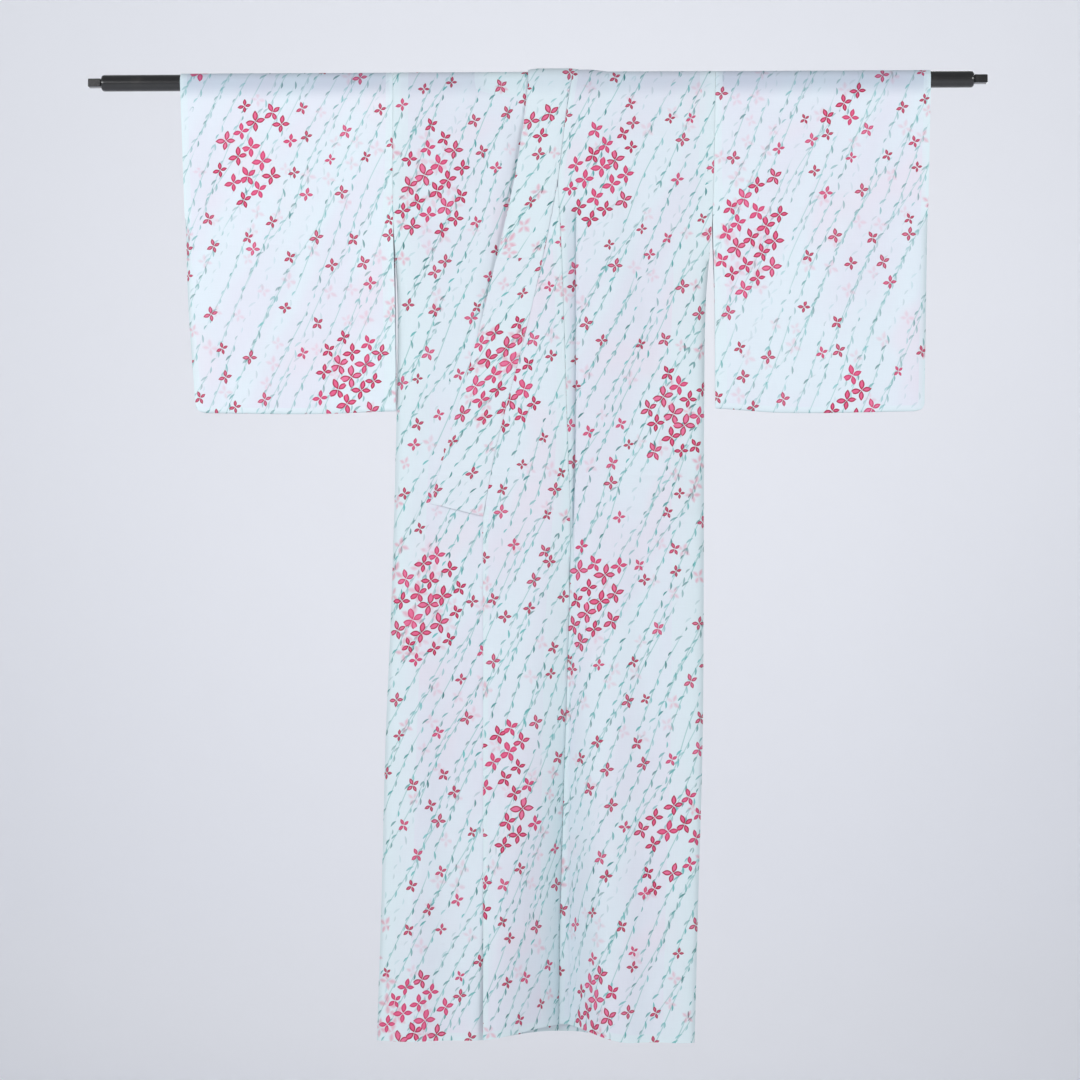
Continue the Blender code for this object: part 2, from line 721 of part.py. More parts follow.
def turn_rod(lacquer):
    """The round bar, with rounded ends."""
    work = bmesh.new()
    bmesh.ops.create_cone(
        work, cap_ends=True, segments=ROD_SIDES, radius1=ROD_RADIUS, radius2=ROD_RADIUS,
        depth=ROD_LENGTH,
    )
    ends = [edge for edge in work.edges if abs(edge.verts[0].co.z - edge.verts[1].co.z) < GAP]
    bmesh.ops.bevel(
        work, geom=ends, offset=ROD_END_ROUND, offset_type="OFFSET", segments=3, profile=0.5,
        affect="EDGES",
    )
    mesh = bpy.data.meshes.new("rod")
    work.to_mesh(mesh)
    work.free()
    mesh.shade_smooth()
    mesh.set_sharp_from_angle(angle=ROD_SHARP_ANGLE)
    rod = add_object("rod", mesh, lacquer)
    rod.rotation_euler = (0.0, math.radians(90), 0.0)


def cut_pegs(lacquer):
    """The square pegs that carry the rod in its stand, one at each end."""
    for name, sense in (("peg_left", 1), ("peg_right", -1)):
        work = bmesh.new()
        bmesh.ops.create_cube(work, size=1.0)
        bmesh.ops.scale(work, vec=(PEG_LENGTH, PEG_WIDTH, PEG_WIDTH), verts=work.verts)
        bmesh.ops.bevel(
            work, geom=list(work.edges), offset=PEG_EDGE, offset_type="OFFSET", segments=1,
            affect="EDGES",
        )
        mesh = bpy.data.meshes.new(name)
        work.to_mesh(mesh)
        work.free()
        peg = add_object(name, mesh, lacquer)
        peg.location = (sense * (ROD_LENGTH / 2 + GAP + PEG_LENGTH / 2), 0.0, 0.0)


def main():
    """Build the rod and every piece of cloth."""
    clear_scene()
    linen = make_material("linen", LINEN, 0.85)
    lacquer = make_material("lacquer", LACQUER, 0.12)
    garment = bpy.data.objects.new("garment_middle", None)
    garment.location = (GARMENT_SHIFT, 0.0, 0.0)
    bpy.context.collection.objects.link(garment)
    turn_rod(lacquer)
    cut_pegs(lacquer)
    sew_backs(linen, garment)
    sew_fronts(linen, garment)
    sew_overlaps(linen, garment)
    sew_collars(linen, garment)
    sew_neck(linen, garment)
    sew_sleeves(linen, garment)


main()
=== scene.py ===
"""Looks of a linen kimono hung on a lacquered rod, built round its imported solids.

Every sheet of cloth is a thin shell on the form of its solid. A point of it is given by x from the
garment's middle, by its drop below the rod's axis and by its lift off the inner face. A drop under
zero lies on the roll over the rod. Its flat place in the bolt of cloth is kept in a UV map in
metres, which the print and the weave follow. Left and right are the wearer's.
"""
import logging
import math
from dataclasses import dataclass, field
from enum import Enum
from typing import Callable, Sequence, Union

import bmesh
import bpy
import numpy as np
from mathutils import Matrix, Vector


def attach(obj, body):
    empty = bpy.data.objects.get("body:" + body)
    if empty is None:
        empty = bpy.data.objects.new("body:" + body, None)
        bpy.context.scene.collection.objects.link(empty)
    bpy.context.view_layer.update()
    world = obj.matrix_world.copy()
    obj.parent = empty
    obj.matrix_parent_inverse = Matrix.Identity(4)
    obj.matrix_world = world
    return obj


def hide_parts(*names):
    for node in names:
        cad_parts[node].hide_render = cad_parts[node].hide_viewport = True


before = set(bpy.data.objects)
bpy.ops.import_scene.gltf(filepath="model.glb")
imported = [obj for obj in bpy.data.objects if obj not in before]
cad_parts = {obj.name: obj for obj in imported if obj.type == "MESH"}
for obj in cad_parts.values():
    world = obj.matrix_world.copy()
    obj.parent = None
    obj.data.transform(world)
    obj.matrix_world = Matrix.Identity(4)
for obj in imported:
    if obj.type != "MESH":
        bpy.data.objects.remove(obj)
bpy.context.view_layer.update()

PHOTO_SIDE = 1080
CREASE_ROW_OFFSET = 0.0035
CREASE_ROW_CLEAR = 0.0015
# Further than any edge's reach in metres, and past every allowance in shares of its width.
FAR = 1.0
UNDOUBLED = 2.0
log = logging.getLogger("kimono")

Array = np.ndarray
Item = bpy.types.Object
Material = bpy.types.Material
Node = bpy.types.Node
Socket = bpy.types.NodeSocket
Tree = bpy.types.NodeTree
Value = Union[float, tuple, Socket]
Pair = tuple[float, float]
Triple = tuple[float, float, float]


def ease(value: Array, start: float, end: float) -> Array:
    """Smooth step from 0 at start to 1 at end."""
    share = np.clip((np.asarray(value, float) - start) / (end - start), 0.0, 1.0)
    return share * share * (3.0 - 2.0 * share)


def mix(first: Array, second: Array, share: Array) -> Array:
    """Straight blend of two numbers or arrays."""
    return first + (second - first) * share


def bell(away: Array) -> Array:
    """Smooth hump: 1 in its middle and 0 where away reaches 1."""
    return np.clip(1.0 - away * away, 0.0, None) ** 2


def rounded(distance: Array, reach: float) -> Array:
    """Quarter round: 0 at an edge and 1 at reach from it."""
    away = 1.0 - np.minimum(distance / reach, 1.0)
    return np.sqrt(1.0 - away * away)


class Layer(Enum):
    """The three bodies of cloth, from the viewer to the rear."""

    TOP = "top front"
    UNDER = "under front"
    BACK = "back"

    @property
    def facing(self) -> int:
        """The way the layer faces along y."""
        return 1 if self is Layer.BACK else -1


class Side(Enum):
    """The wearer's two sides."""

    RIGHT = "right"
    LEFT = "left"

    @property
    def sense(self) -> int:
        """1 for the left side, which is on the viewer's right, and -1 for the right side."""
        return 1 if self is Side.LEFT else -1

    @property
    def layer(self) -> Layer:
        """The layer of this side's front."""
        return Layer.TOP if self is Side.LEFT else Layer.UNDER

    def choose(self, left: object, right: object) -> object:
        """The one of two values that belongs to this side."""
        return left if self is Side.LEFT else right


@dataclass(frozen=True)
class Guide:
    """A value at a few drops, on a smooth curve between them."""

    drops: tuple[float, ...]
    values: tuple[float, ...]

    def at(self, drop: Array) -> Array:
        """Value at each drop, held at the first and last rows.

        Args:
            drop: Drops below the rod's axis, in metres.

        Returns:
            The guide's values there.
        """
        rows = np.array(self.drops)
        values = np.array(self.values)
        last = len(rows) - 1
        start = np.clip(np.searchsorted(rows, drop, side="left") - 1, 0, last - 1)
        above = np.maximum(start - 1, 0)
        below = np.minimum(start + 2, last)
        span = rows[start + 1] - rows[start]
        share = np.clip((drop - rows[start]) / span, 0.0, 1.0)
        first = values[start]
        second = values[start + 1]
        first_slope = (second - values[above]) / (rows[start + 1] - rows[above]) * span
        second_slope = (values[below] - first) / (rows[below] - rows[start]) * span
        square = share * share
        cube = square * share
        return (
            first * (2.0 * cube - 3.0 * square + 1.0)
            + first_slope * (cube - 2.0 * square + share)
            + second * (3.0 * square - 2.0 * cube)
            + second_slope * (cube - square)
        )


@dataclass(frozen=True)
class Fold:
    """A soft fold: a trough where its depth is above zero and a ridge where it is below."""

    top: float
    foot: float
    top_x: float
    foot_x: float
    reach: float
    top_depth: float
    foot_depth: float
    fade_in: float = 0.25
    fade_out: float = 0.90

    def depth(self, x: Array, drop: Array) -> Array:
        """How far the fold moves the cloth to the rear.

        Args:
            x: Places across, from the garment's middle.
            drop: Drops of the places.

        Returns:
            Depth at each place.
        """
        share = np.clip((drop - self.top) / (self.foot - self.top), 0.0, 1.0)
        away = np.abs(x - mix(self.top_x, self.foot_x, share)) / self.reach
        fade = ease(share, 0.0, self.fade_in) * (1.0 - ease(share, self.fade_out, 1.0))
        return mix(self.top_depth, self.foot_depth, share) * fade * bell(away) * (drop > self.top)


@dataclass(frozen=True)
class Crease:
    """A sharp line left by folding the garment for storage, across the cloth at one drop."""

    drop: float
    height: float
    reach: float = 0.007
    sharpness: float = 1.5

    def depth(self, drop: Array) -> Array:
        """How far the crease moves the cloth to the rear at each drop."""
        away = np.abs(drop - self.drop) / self.reach
        return self.height * np.clip(1.0 - away, 0.0, None) ** self.sharpness


# Each fold: top, foot, x at the top and at the foot, reach, depth at the top and at the foot.
FRONT_FOLDS = (
    Fold(0.06, 0.80, -0.080, -0.215, 0.075, 0.003, 0.006),
    Fold(0.78, 1.75, -0.150, -0.165, 0.070, 0.003, 0.012),
    Fold(0.70, 1.75, -0.235, -0.238, 0.055, -0.002, -0.007),
    Fold(0.10, 0.70, 0.150, 0.135, 0.060, 0.003, 0.003),
    Fold(0.62, 1.75, 0.095, 0.112, 0.048, -0.002, -0.006),
    Fold(0.85, 1.75, 0.178, 0.170, 0.050, 0.002, 0.008),
)
BACK_FOLDS = (
    Fold(0.08, 1.00, -0.165, -0.180, 0.070, 0.004, 0.005),
    Fold(0.60, 1.75, -0.215, -0.205, 0.055, 0.003, 0.012),
    Fold(0.12, 0.90, 0.160, 0.150, 0.065, 0.004, 0.004),
    Fold(0.75, 1.75, 0.185, 0.190, 0.050, 0.003, 0.010),
)
SLEEVE_FOLDS = (
    Fold(0.05, 0.70, 0.365, 0.350, 0.050, 0.001, 0.003),
    Fold(0.10, 0.70, 0.480, 0.500, 0.060, -0.002, -0.003),
    Fold(0.00, 0.50, 0.570, 0.575, 0.040, 0.001, 0.002),
)
FRONT_CREASES = (
    Crease(0.672, 0.0009), Crease(0.738, -0.0007), Crease(0.886, 0.0010), Crease(1.457, -0.0008)
)
BACK_CREASES = (Crease(0.664, -0.0009), Crease(0.890, 0.0009), Crease(1.340, 0.0007))
SLEEVE_CREASES = (Crease(0.281, 0.0006),)


@dataclass
class HangingCloth:
    """The common shape that every sheet of the body lies on, as its solids have it."""

    garment_shift: float = 0.0315
    gap: float = 0.0003
    roll: float = 0.0146
    body_length: float = 1.617
    half_at_hem: float = 0.009
    sleeve_seam: float = 0.229
    side_seam_top: float = 0.380
    side_round: float = 0.040
    edge_rest: float = 0.050
    meet: float = 0.00015
    valley_top: float = 0.200
    valley_depths: Pair = (0.0015, 0.090)
    valley_growth: float = 2.2
    valley_widening: float = 1.2
    valley_crown: float = 0.35
    valley_start: float = 0.06
    valley_left_reach: Pair = (0.015, 0.126)
    valley_right_reach: Pair = (0.012, 0.075)
    under_extra: Pair = (0.004, 0.030)
    under_start: float = 0.25
    trough_under: float = 0.003
    trough_reach: float = 0.030
    trough_depth: float = 0.0065
    trough_grows: Pair = (0.03, 0.12)
    trough_fades: Pair = (0.30, 0.46)
    tuck_edge: Guide = Guide((0.200, 0.640, 0.740, 0.830), (0.0371, 0.0371, 0.0345, 0.0285))
    tuck_depth: float = 0.0032
    tuck_reaches: Pair = (0.0060, 0.0026)
    tuck_sharpness: float = 1.2
    tuck_grows: float = 0.04
    tuck_fades: Pair = (0.72, 0.86)
    ridge_heights: Pair = (0.034, 0.092)
    ridge_reaches: Pair = (0.100, 0.165)
    ridge_hem_x: float = 0.010
    ridge_growth: float = 1.5
    neck_half: float = 0.045
    neck_drop: float = 0.055
    hem_lift_start: float = 1.250
    hem_lifts: Pair = (0.016, 0.004)
    front_tip: float = 0.170
    overlap_tip: float = 0.185
    collar_end: float = 0.7188
    collar_slant: float = 0.0218
    overlap_blend: float = 0.040
    top_lift_height: float = 0.0033
    lift_fade: Pair = (0.016, 0.050)
    settle_lift: float = 0.0019
    settle_reach: float = 0.026
    settle_grows: Pair = (0.34, 0.46)
    slope_step: float = 0.001
    slope_limit: float = 2.0
    side_low: Guide = Guide(
        (0.000, 0.229, 0.380, 0.560, 0.880, 1.115, 1.380, 1.617),
        (-0.2725, -0.2713, -0.2640, -0.2647, -0.2717, -0.2805, -0.2860, -0.2925),
    )
    side_high: Guide = Guide(
        (0.000, 0.229, 0.380, 0.560, 0.880, 1.115, 1.380, 1.617),
        (0.2732, 0.2681, 0.2571, 0.2542, 0.2531, 0.2513, 0.2438, 0.2377),
    )
    collar_free: Guide = Guide(
        (0.000, 0.063, 0.164, 0.289, 0.440, 0.620, 0.741),
        (-0.0435, -0.0495, -0.0653, -0.0925, -0.1290, -0.1785, -0.2130),
    )
    collar_sewn: Guide = Guide(
        (0.000, 0.063, 0.164, 0.289, 0.440, 0.620, 0.741),
        (0.0305, 0.0205, 0.0085, -0.0145, -0.0490, -0.0945, -0.1174),
    )
    overlap_seam: Guide = Guide(
        (0.175, 0.310, 0.580, 0.741, 0.882, 1.149, 1.431, 1.617),
        (0.0075, 0.0144, 0.0234, 0.0287, 0.0273, 0.0194, 0.0116, 0.0095),
    )
    overlap_free: Guide = Guide(
        (0.175, 0.310, 0.580, 0.741, 0.882, 1.149, 1.431, 1.617),
        (-0.1174, -0.1174, -0.1174, -0.1171, -0.1168, -0.1160, -0.1150, -0.1145),
    )

    @property
    def roll_arc(self) -> float:
        """Length of cloth from the shoulder line down to the height of the rod's axis."""
        return self.roll * math.pi / 2

    def mirrored(self, edge: Array, drop: Array) -> Array:
        """The same edge on the body's other half, for the layer underneath."""
        return self.side_low.at(drop) + self.side_high.at(drop) - edge

    def overlap_front(self, drop: Array) -> Array:
        """Front edge of the left overlap: against the collar, then free below its end."""
        corner = self.collar_end + self.collar_slant
        return np.where(drop < corner, self.collar_sewn.at(drop) + self.gap, self.overlap_free.at(drop))

    def front_inner(self, drop: Array) -> Array:
        """Inner edge of the left front: against the collar, then against the overlap.

        Args:
            drop: Drops of the places.

        Returns:
            x of the edge.
        """
        seam = self.overlap_seam.at(drop)
        upper = np.maximum(self.collar_sewn.at(drop), np.where(drop > self.front_tip, seam, -FAR))
        return np.where(drop < self.overlap_tip, upper + self.gap, seam + self.gap / 2)

    def valley(self, layer: Layer, x: Array, drop: Array) -> Array:
        """How far the front sinks in along the left overlap's seam.

        Args:
            layer: The top or the under front.
            x: Places across.
            drop: Drops of the places.

        Returns:
            Depth at each place.
        """
        share = np.clip((drop - self.valley_top) / (self.body_length - self.valley_top), 0.0, None)
        depth = mix(*self.valley_depths, share ** self.valley_growth)
        away = self.overlap_seam.at(drop) - x
        tuck = self.tuck_width(drop)
        right = away < 0.0
        away = np.where(right, np.clip(-away - tuck, 0.0, None), away)
        grown = np.minimum(share, 1.0) ** self.valley_widening
        reach = np.where(right, mix(*self.valley_right_reach, grown), mix(*self.valley_left_reach, grown))
        start = ease(share, 0.0, self.valley_start)
        if layer is Layer.UNDER:
            depth = depth + self.under_extra[0] * ease(share, 0.0, self.under_start)
            return depth * bell(away / (reach + self.under_extra[1])) * start
        rest = np.clip(1.0 - away / reach, 0.0, None)
        return depth * rest * rest * (1.0 + self.valley_crown * (1.0 - rest)) * start

    def tuck_width(self, drop: Array) -> Array:
        """Width of the tuck beside the overlap's seam, down to where it runs out."""
        return np.clip(self.tuck_edge.at(drop) - self.overlap_seam.at(drop), 0.0, None)

    def tuck_shown(self, drop: Array) -> Array:
        """Share of the tuck's full depth."""
        shown = ease(drop, self.valley_top, self.valley_top + self.tuck_grows)
        return shown * (1.0 - ease(drop, *self.tuck_fades))

    def collar_trough(self, x: Array, drop: Array) -> Array:
        """Depth of the soft trough in the under front beside the top collar.

        Args:
            x: Places across.
            drop: Drops of the places.

        Returns:
            Depth at each place.
        """
        away = (self.collar_free.at(drop) + self.trough_under - x) / self.trough_reach
        shown = ease(drop, *self.trough_grows) * (1.0 - ease(drop, *self.trough_fades))
        return self.trough_depth * bell(away) * shown

    def tuck_line(self, x: Array, drop: Array) -> Array:
        """Depth of the creased line where the tuck beside the overlap's seam ends.

        Args:
            x: Places across.
            drop: Drops of the places.

        Returns:
            Depth at each place.
        """
        width = self.tuck_width(drop)
        line = self.overlap_seam.at(drop) + width
        reach = np.where(x < line, np.maximum(width, self.tuck_reaches[0]), self.tuck_reaches[1])
        away = np.clip(1.0 - np.abs(x - line) / reach, 0.0, None) ** self.tuck_sharpness
        return self.tuck_depth * away * self.tuck_shown(drop)

    def back_ridge(self, x: Array, drop: Array) -> Array:
        """How far the spare width stands out down the middle of the back.

        Args:
            x: Places across.
            drop: Drops of the places.

        Returns:
            Height at each place.
        """
        share = np.clip(drop / self.body_length, 0.0, 1.0)
        height = mix(*self.ridge_heights, share ** self.ridge_growth)
        height = height * np.clip(drop / self.neck_drop, 0.0, 1.0)
        return height * bell((x - self.ridge_hem_x * share) / mix(*self.ridge_reaches, share))

    def half(self, x: Array, drop: Array) -> Array:
        """Half the hollow's depth: the rod's at the top, closed at the side seams lower down.

        Args:
            x: Places across.
            drop: Drops of the places.

        Returns:
            Half the depth at each place.
        """
        middle = mix(self.roll, self.half_at_hem, ease(drop, 0.0, self.body_length))
        closing = ease(drop, self.sleeve_seam, self.side_seam_top)
        share = rounded(np.clip(self.to_side(x, drop), 0.0, None), self.side_round)
        return mix(middle, mix(self.meet, middle, share), closing)

    def to_side(self, x: Array, drop: Array) -> Array:
        """Distance to the nearer side edge."""
        return np.minimum(x - self.side_low.at(drop), self.side_high.at(drop) - x)

    def depth(self, layer: Layer, x: Array, drop: Array) -> Array:
        """y of the layer's inner face, with its folds and storage creases.

        Args:
            layer: The layer of cloth.
            x: Places across.
            drop: Drops of the places.

        Returns:
            y at each place.
        """
        rest = ease(self.to_side(x, drop), 0.0, self.edge_rest)
        if layer is Layer.BACK:
            fold = self.back_ridge(x, drop) + sum(f.depth(x, drop) for f in BACK_FOLDS)
            return self.half(x, drop) + (fold + sum(c.depth(drop) for c in BACK_CREASES)) * rest
        fold = sum(f.depth(x, drop) for f in FRONT_FOLDS)
        fold = fold + sum(c.depth(drop) for c in FRONT_CREASES)
        if layer is Layer.UNDER:
            fold = fold + self.collar_trough(x, drop)
        fold = self.valley(layer, x, drop) + self.tuck_line(x, drop) + fold * rest
        return fold - self.half(x, drop)

    def top_lift(self, x: Array, drop: Array) -> Array:
        """Lift of the top front: over the under layers, and down on the inner face beside them.

        Args:
            x: Places across.
            drop: Drops of the places.

        Returns:
            Lift at each place.
        """
        collar = self.mirrored(self.collar_free.at(drop), drop)
        overlap = self.mirrored(self.overlap_free.at(drop), drop)
        corner = self.collar_end + self.collar_slant
        limit = mix(collar, overlap, ease(drop, corner, corner + self.overlap_blend))
        return self.top_lift_height * (1.0 - ease(x - limit, *self.lift_fade))

    def settled(self, lift: Array, from_edge: Array, drop: Array) -> Array:
        """Lift that comes down on the layer beneath toward a free edge."""
        down = (1.0 - ease(from_edge, 0.0, self.settle_reach)) * ease(drop, *self.settle_grows)
        return lift - self.settle_lift * down

    def hem_drop(self, layer: Layer, row: Array, x: Array) -> Array:
        """Drop of a row near the hem, which rises where the cloth is drawn into the valley."""
        pull = self.hem_lifts[layer is Layer.UNDER] * ease(row, self.hem_lift_start, self.body_length)
        return row - pull * self.valley(Layer.UNDER, x, row) / self.valley_depths[1]

    def neck_cut(self, drop: Array) -> Array:
        """Half the width of the neck's cut in the backs."""
        share = np.clip(drop / self.neck_drop, 0.0, 1.0)
        return self.neck_half * np.sqrt(1.0 - share * share)

    def place(self, depth: Callable, layer: Layer, x: Array, drop: Array, lift: Array) -> Array:
        """Points of a sheet.

        Args:
            depth: Function of layer, x and drop that gives y of the inner face.
            layer: The layer of cloth.
            x: Places across, from the garment's middle.
            drop: Drops of the places.
            lift: Distance off the inner face.

        Returns:
            World points, with one more axis than x.
        """
        facing = layer.facing
        hung = np.maximum(drop, 0.0)
        step = self.slope_step
        slope = (depth(layer, x + step, hung) - depth(layer, x - step, hung)) / (2 * step)
        slope = np.minimum(np.abs(slope), self.slope_limit)
        y_hung = depth(layer, x, hung) + facing * lift * np.hypot(1.0, slope)
        turn = (drop + self.roll_arc) / self.roll
        y_roll = facing * (self.roll + lift) * np.sin(turn)
        z_roll = (self.roll + lift) * np.cos(turn)
        on_roll = drop < 0.0
        y = np.where(on_roll, y_roll, y_hung)
        z = np.where(on_roll, z_roll, -drop)
        return np.stack([x + self.garment_shift, y, z], axis=-1)


def show(name: str, data: bpy.types.ID) -> Item:
    """A new object in the scene.

    Args:
        name: Its name.
        data: Its mesh, light or camera.

    Returns:
        The object.
    """
    item = bpy.data.objects.new(name, data)
    bpy.context.scene.collection.objects.link(item)
    return item


@dataclass
class SheetGrid:
    """Two faces of one sheet of cloth, with what its finish needs to know."""

    inner: Array
    outer: Array
    across: Array
    along: Array
    allowance: Array
    run: int = 1
    # Painted shade in folds and creases, by point.
    painted_fold_shade: Array | None = None
    sharp_degrees: float = 60.0

    def make(self, name: str) -> Item:
        """Closed shell with its UV map and attributes.

        Args:
            name: Name of the piece.

        Returns:
            The new object, linked into the scene.
        """
        rows, columns = self.across.shape
        count = rows * columns
        index = np.arange(count).reshape(rows, columns)
        corners = (index[:-1, :-1], index[:-1, 1:], index[1:, 1:], index[1:, :-1])
        quads = np.stack(corners, axis=-1).reshape(-1, 4)
        rim = np.concatenate([index[0, :], index[1:, -1], index[-1, -2::-1], index[-2:0:-1, 0]])
        ahead = np.roll(rim, -1)
        walls = np.stack([rim, ahead, ahead + count, rim + count], axis=-1)
        faces = np.concatenate([quads, quads[:, ::-1] + count, walls[:, ::-1]])
        points = np.concatenate([self.inner.reshape(-1, 3), self.outer.reshape(-1, 3)])
        mesh = bpy.data.meshes.new(name)
        mesh.from_pydata(points.tolist(), [], faces.tolist())
        self._dress(mesh, faces, len(quads))
        work = bmesh.new()
        work.from_mesh(mesh)
        bmesh.ops.recalc_face_normals(work, faces=work.faces)
        work.to_mesh(mesh)
        work.free()
        mesh.shade_smooth()
        mesh.set_sharp_from_angle(angle=math.radians(self.sharp_degrees))
        return show(name, mesh)

    def _dress(self, mesh: bpy.types.Mesh, faces: Array, panel: int) -> None:
        """Write the UV map, the doubled places, the painted fold shade and the wrong side onto the mesh.

        Args:
            mesh: The sheet's mesh.
            faces: Points of each of its faces.
            panel: Number of faces on the inner side, which come first.
        """
        flat = np.stack([self.across.ravel() * self.run, self.along.ravel()], axis=-1)
        flat = np.concatenate([flat, flat])
        uv_map = mesh.uv_layers.new(name="cloth")
        uv_map.data.foreach_set("uv", flat[faces.ravel()].astype(np.float32).ravel())
        painted_fold_shade = np.zeros(self.across.shape) if self.painted_fold_shade is None else self.painted_fold_shade
        for label, values in (("doubled", self.allowance), ("painted_fold_shade", painted_fold_shade)):
            attribute = mesh.attributes.new(label, "FLOAT", "POINT")
            attribute.data.foreach_set("value", np.tile(values.ravel(), 2).astype(np.float32))
        wrong = np.zeros(len(faces), np.float32)
        wrong[:panel] = 1.0
        attribute = mesh.attributes.new("wrong_side", "FLOAT", "FACE")
        attribute.data.foreach_set("value", wrong)


class Graph:
    """Short ways to add nodes to a tree."""

    def __init__(self, tree: Tree) -> None:
        """Wrap a node tree."""
        self.tree = tree

    def node(self, kind: str, **settings: object) -> Node:
        """A new node.

        Args:
            kind: Blender's name of the node's type.
            settings: Values of its properties.

        Returns:
            The node.
        """
        made = self.tree.nodes.new(kind)
        for name, value in settings.items():
            setattr(made, name, value)
        return made

    def feed(self, socket: Socket, value: Value) -> None:
        """Link a socket, or set its own value.

        Args:
            socket: The input.
            value: The output to link it to, or its own value.
        """
        if isinstance(value, Socket):
            self.tree.links.new(value, socket)
        else:
            socket.default_value = value

    def set(self, node: Node, inputs: dict) -> Node:
        """Feed inputs of a node.

        Args:
            node: The node.
            inputs: Value of each input, by its name or number.

        Returns:
            The node.
        """
        for key, value in inputs.items():
            self.feed(node.inputs[key], value)
        return node

    def fed(self, kind: str, inputs: dict, **settings: object) -> Node:
        """A new node with inputs fed, by their names or numbers."""
        return self.set(self.node(kind, **settings), inputs)

    def open(self, way: str, kind: str, labels: Sequence[str]) -> None:
        """Give the tree inputs or outputs of one kind."""
        for label in labels:
            self.tree.interface.new_socket(name=label, in_out=way, socket_type=kind)

    def math(self, operation: str, *values: Value) -> Socket:
        """Result of a math node."""
        return self.fed("ShaderNodeMath", dict(enumerate(values)), operation=operation).outputs[0]

    def add(self, first: Value, second: Value) -> Socket:
        """Sum of two values."""
        return self.math("ADD", first, second)

    def less(self, first: Value, second: Value) -> Socket:
        """Difference of two values."""
        return self.math("SUBTRACT", first, second)

    def times(self, first: Value, second: Value) -> Socket:
        """Product of two values."""
        return self.math("MULTIPLY", first, second)

    def vector(self, operation: str, *values: Value) -> Socket:
        """Vector result of a vector math node."""
        made = self.fed("ShaderNodeVectorMath", dict(enumerate(values)), operation=operation)
        return made.outputs["Vector"]

    def scaled(self, vector: Value, scale: Value) -> Socket:
        """Vector times a number."""
        made = self.fed("ShaderNodeVectorMath", {0: vector, "Scale": scale}, operation="SCALE")
        return made.outputs["Vector"]

    def split(self, vector: Value) -> list[Socket]:
        """x, y and z of a vector."""
        return list(self.fed("ShaderNodeSeparateXYZ", {0: vector}).outputs)

    def join(self, x: Value, y: Value, z: Value = 0.0) -> Socket:
        """Vector of three values."""
        return self.fed("ShaderNodeCombineXYZ", {0: x, 1: y, 2: z}).outputs[0]

    def turned(self, vector: Value, angle: Value) -> Socket:
        """Vector turned about z."""
        inputs = {"Vector": vector, "Angle": angle}
        return self.fed("ShaderNodeVectorRotate", inputs, rotation_type="Z_AXIS").outputs[0]

    def step(self, value: Value, start: Value, end: Value) -> Socket:
        """Smooth step of a value from 0 at start to 1 at end."""
        inputs = {"Value": value, "From Min": start, "From Max": end}
        return self.fed("ShaderNodeMapRange", inputs, interpolation_type="SMOOTHSTEP").outputs["Result"]

    def between(self, first: Value, second: Value, share: Value) -> Socket:
        """Blend of two values."""
        return self.fed("ShaderNodeMix", {0: share, 2: first, 3: second}, data_type="FLOAT").outputs[0]

    def paint(self, share: Value, first: Value, second: Value, blend: str = "MIX") -> Socket:
        """Blend of two colours."""
        inputs = {0: share, 6: first, 7: second}
        return self.fed("ShaderNodeMix", inputs, data_type="RGBA", blend_type=blend).outputs[2]

    def noise(self, vector: Value, scale: float, detail: float = 2.0) -> Socket:
        """Soft noise between 0 and 1."""
        inputs = {"Vector": vector, "Scale": scale, "Detail": detail}
        return self.fed("ShaderNodeTexNoise", inputs, noise_dimensions="2D").outputs[0]

    def parts(self, colour: Value) -> list[Socket]:
        """The three values of a colour."""
        return list(self.fed("ShaderNodeSeparateColor", {0: colour}).outputs)

    def chance(self, x: Value, y: Value = 0.0) -> list[Socket]:
        """Three even random values for a pair of whole numbers."""
        made = self.fed("ShaderNodeTexWhiteNoise", {"Vector": self.join(x, y)}, noise_dimensions="2D")
        return self.parts(made.outputs["Color"])

    def use(self, group: Tree, **values: Value) -> dict:
        """Outputs of a node group, with its inputs named in words joined by underscores."""
        inputs = {name.replace("_", " "): value for name, value in values.items()}
        return {s.name: s for s in self.fed("ShaderNodeGroup", inputs, node_tree=group).outputs}

    def bump(self, shader: Node, height: Value, distance: float, strength: float) -> None:
        """Feed a shader's normal with a bump of a height."""
        inputs = {"Height": height, "Distance": distance, "Strength": strength}
        self.feed(shader.inputs["Normal"], self.fed("ShaderNodeBump", inputs).outputs[0])


def new_finish(name: str) -> tuple[Material, Graph, Node]:
    """A new material.

    Args:
        name: Its name.

    Returns:
        The material, its graph and its shader.
    """
    material = bpy.data.materials.new(name)
    material.use_nodes = True
    return material, Graph(material.node_tree), material.node_tree.nodes["Principled BSDF"]


class Effect(Graph):
    """A shader node group under construction."""

    def __init__(
        self, name: str, vectors: Sequence[str], numbers: Sequence[str], outputs: Sequence[str]
    ) -> None:
        """Open a group.

        Args:
            name: Name of the group.
            vectors: Labels of the inputs that take a vector.
            numbers: Labels of the inputs that take a number.
            outputs: Labels of the outputs, which all give a number.
        """
        super().__init__(bpy.data.node_groups.new(name, "ShaderNodeTree"))
        self.open("INPUT", "NodeSocketVector", vectors)
        self.open("INPUT", "NodeSocketFloat", numbers)
        self.open("OUTPUT", "NodeSocketFloat", outputs)
        self.given = self.node("NodeGroupInput").outputs[:-1]
        self.result = self.node("NodeGroupOutput")

    def close(self, **values: Value) -> Tree:
        """The finished group, with its outputs fed by their labels."""
        self.set(self.result, values)
        return self.tree


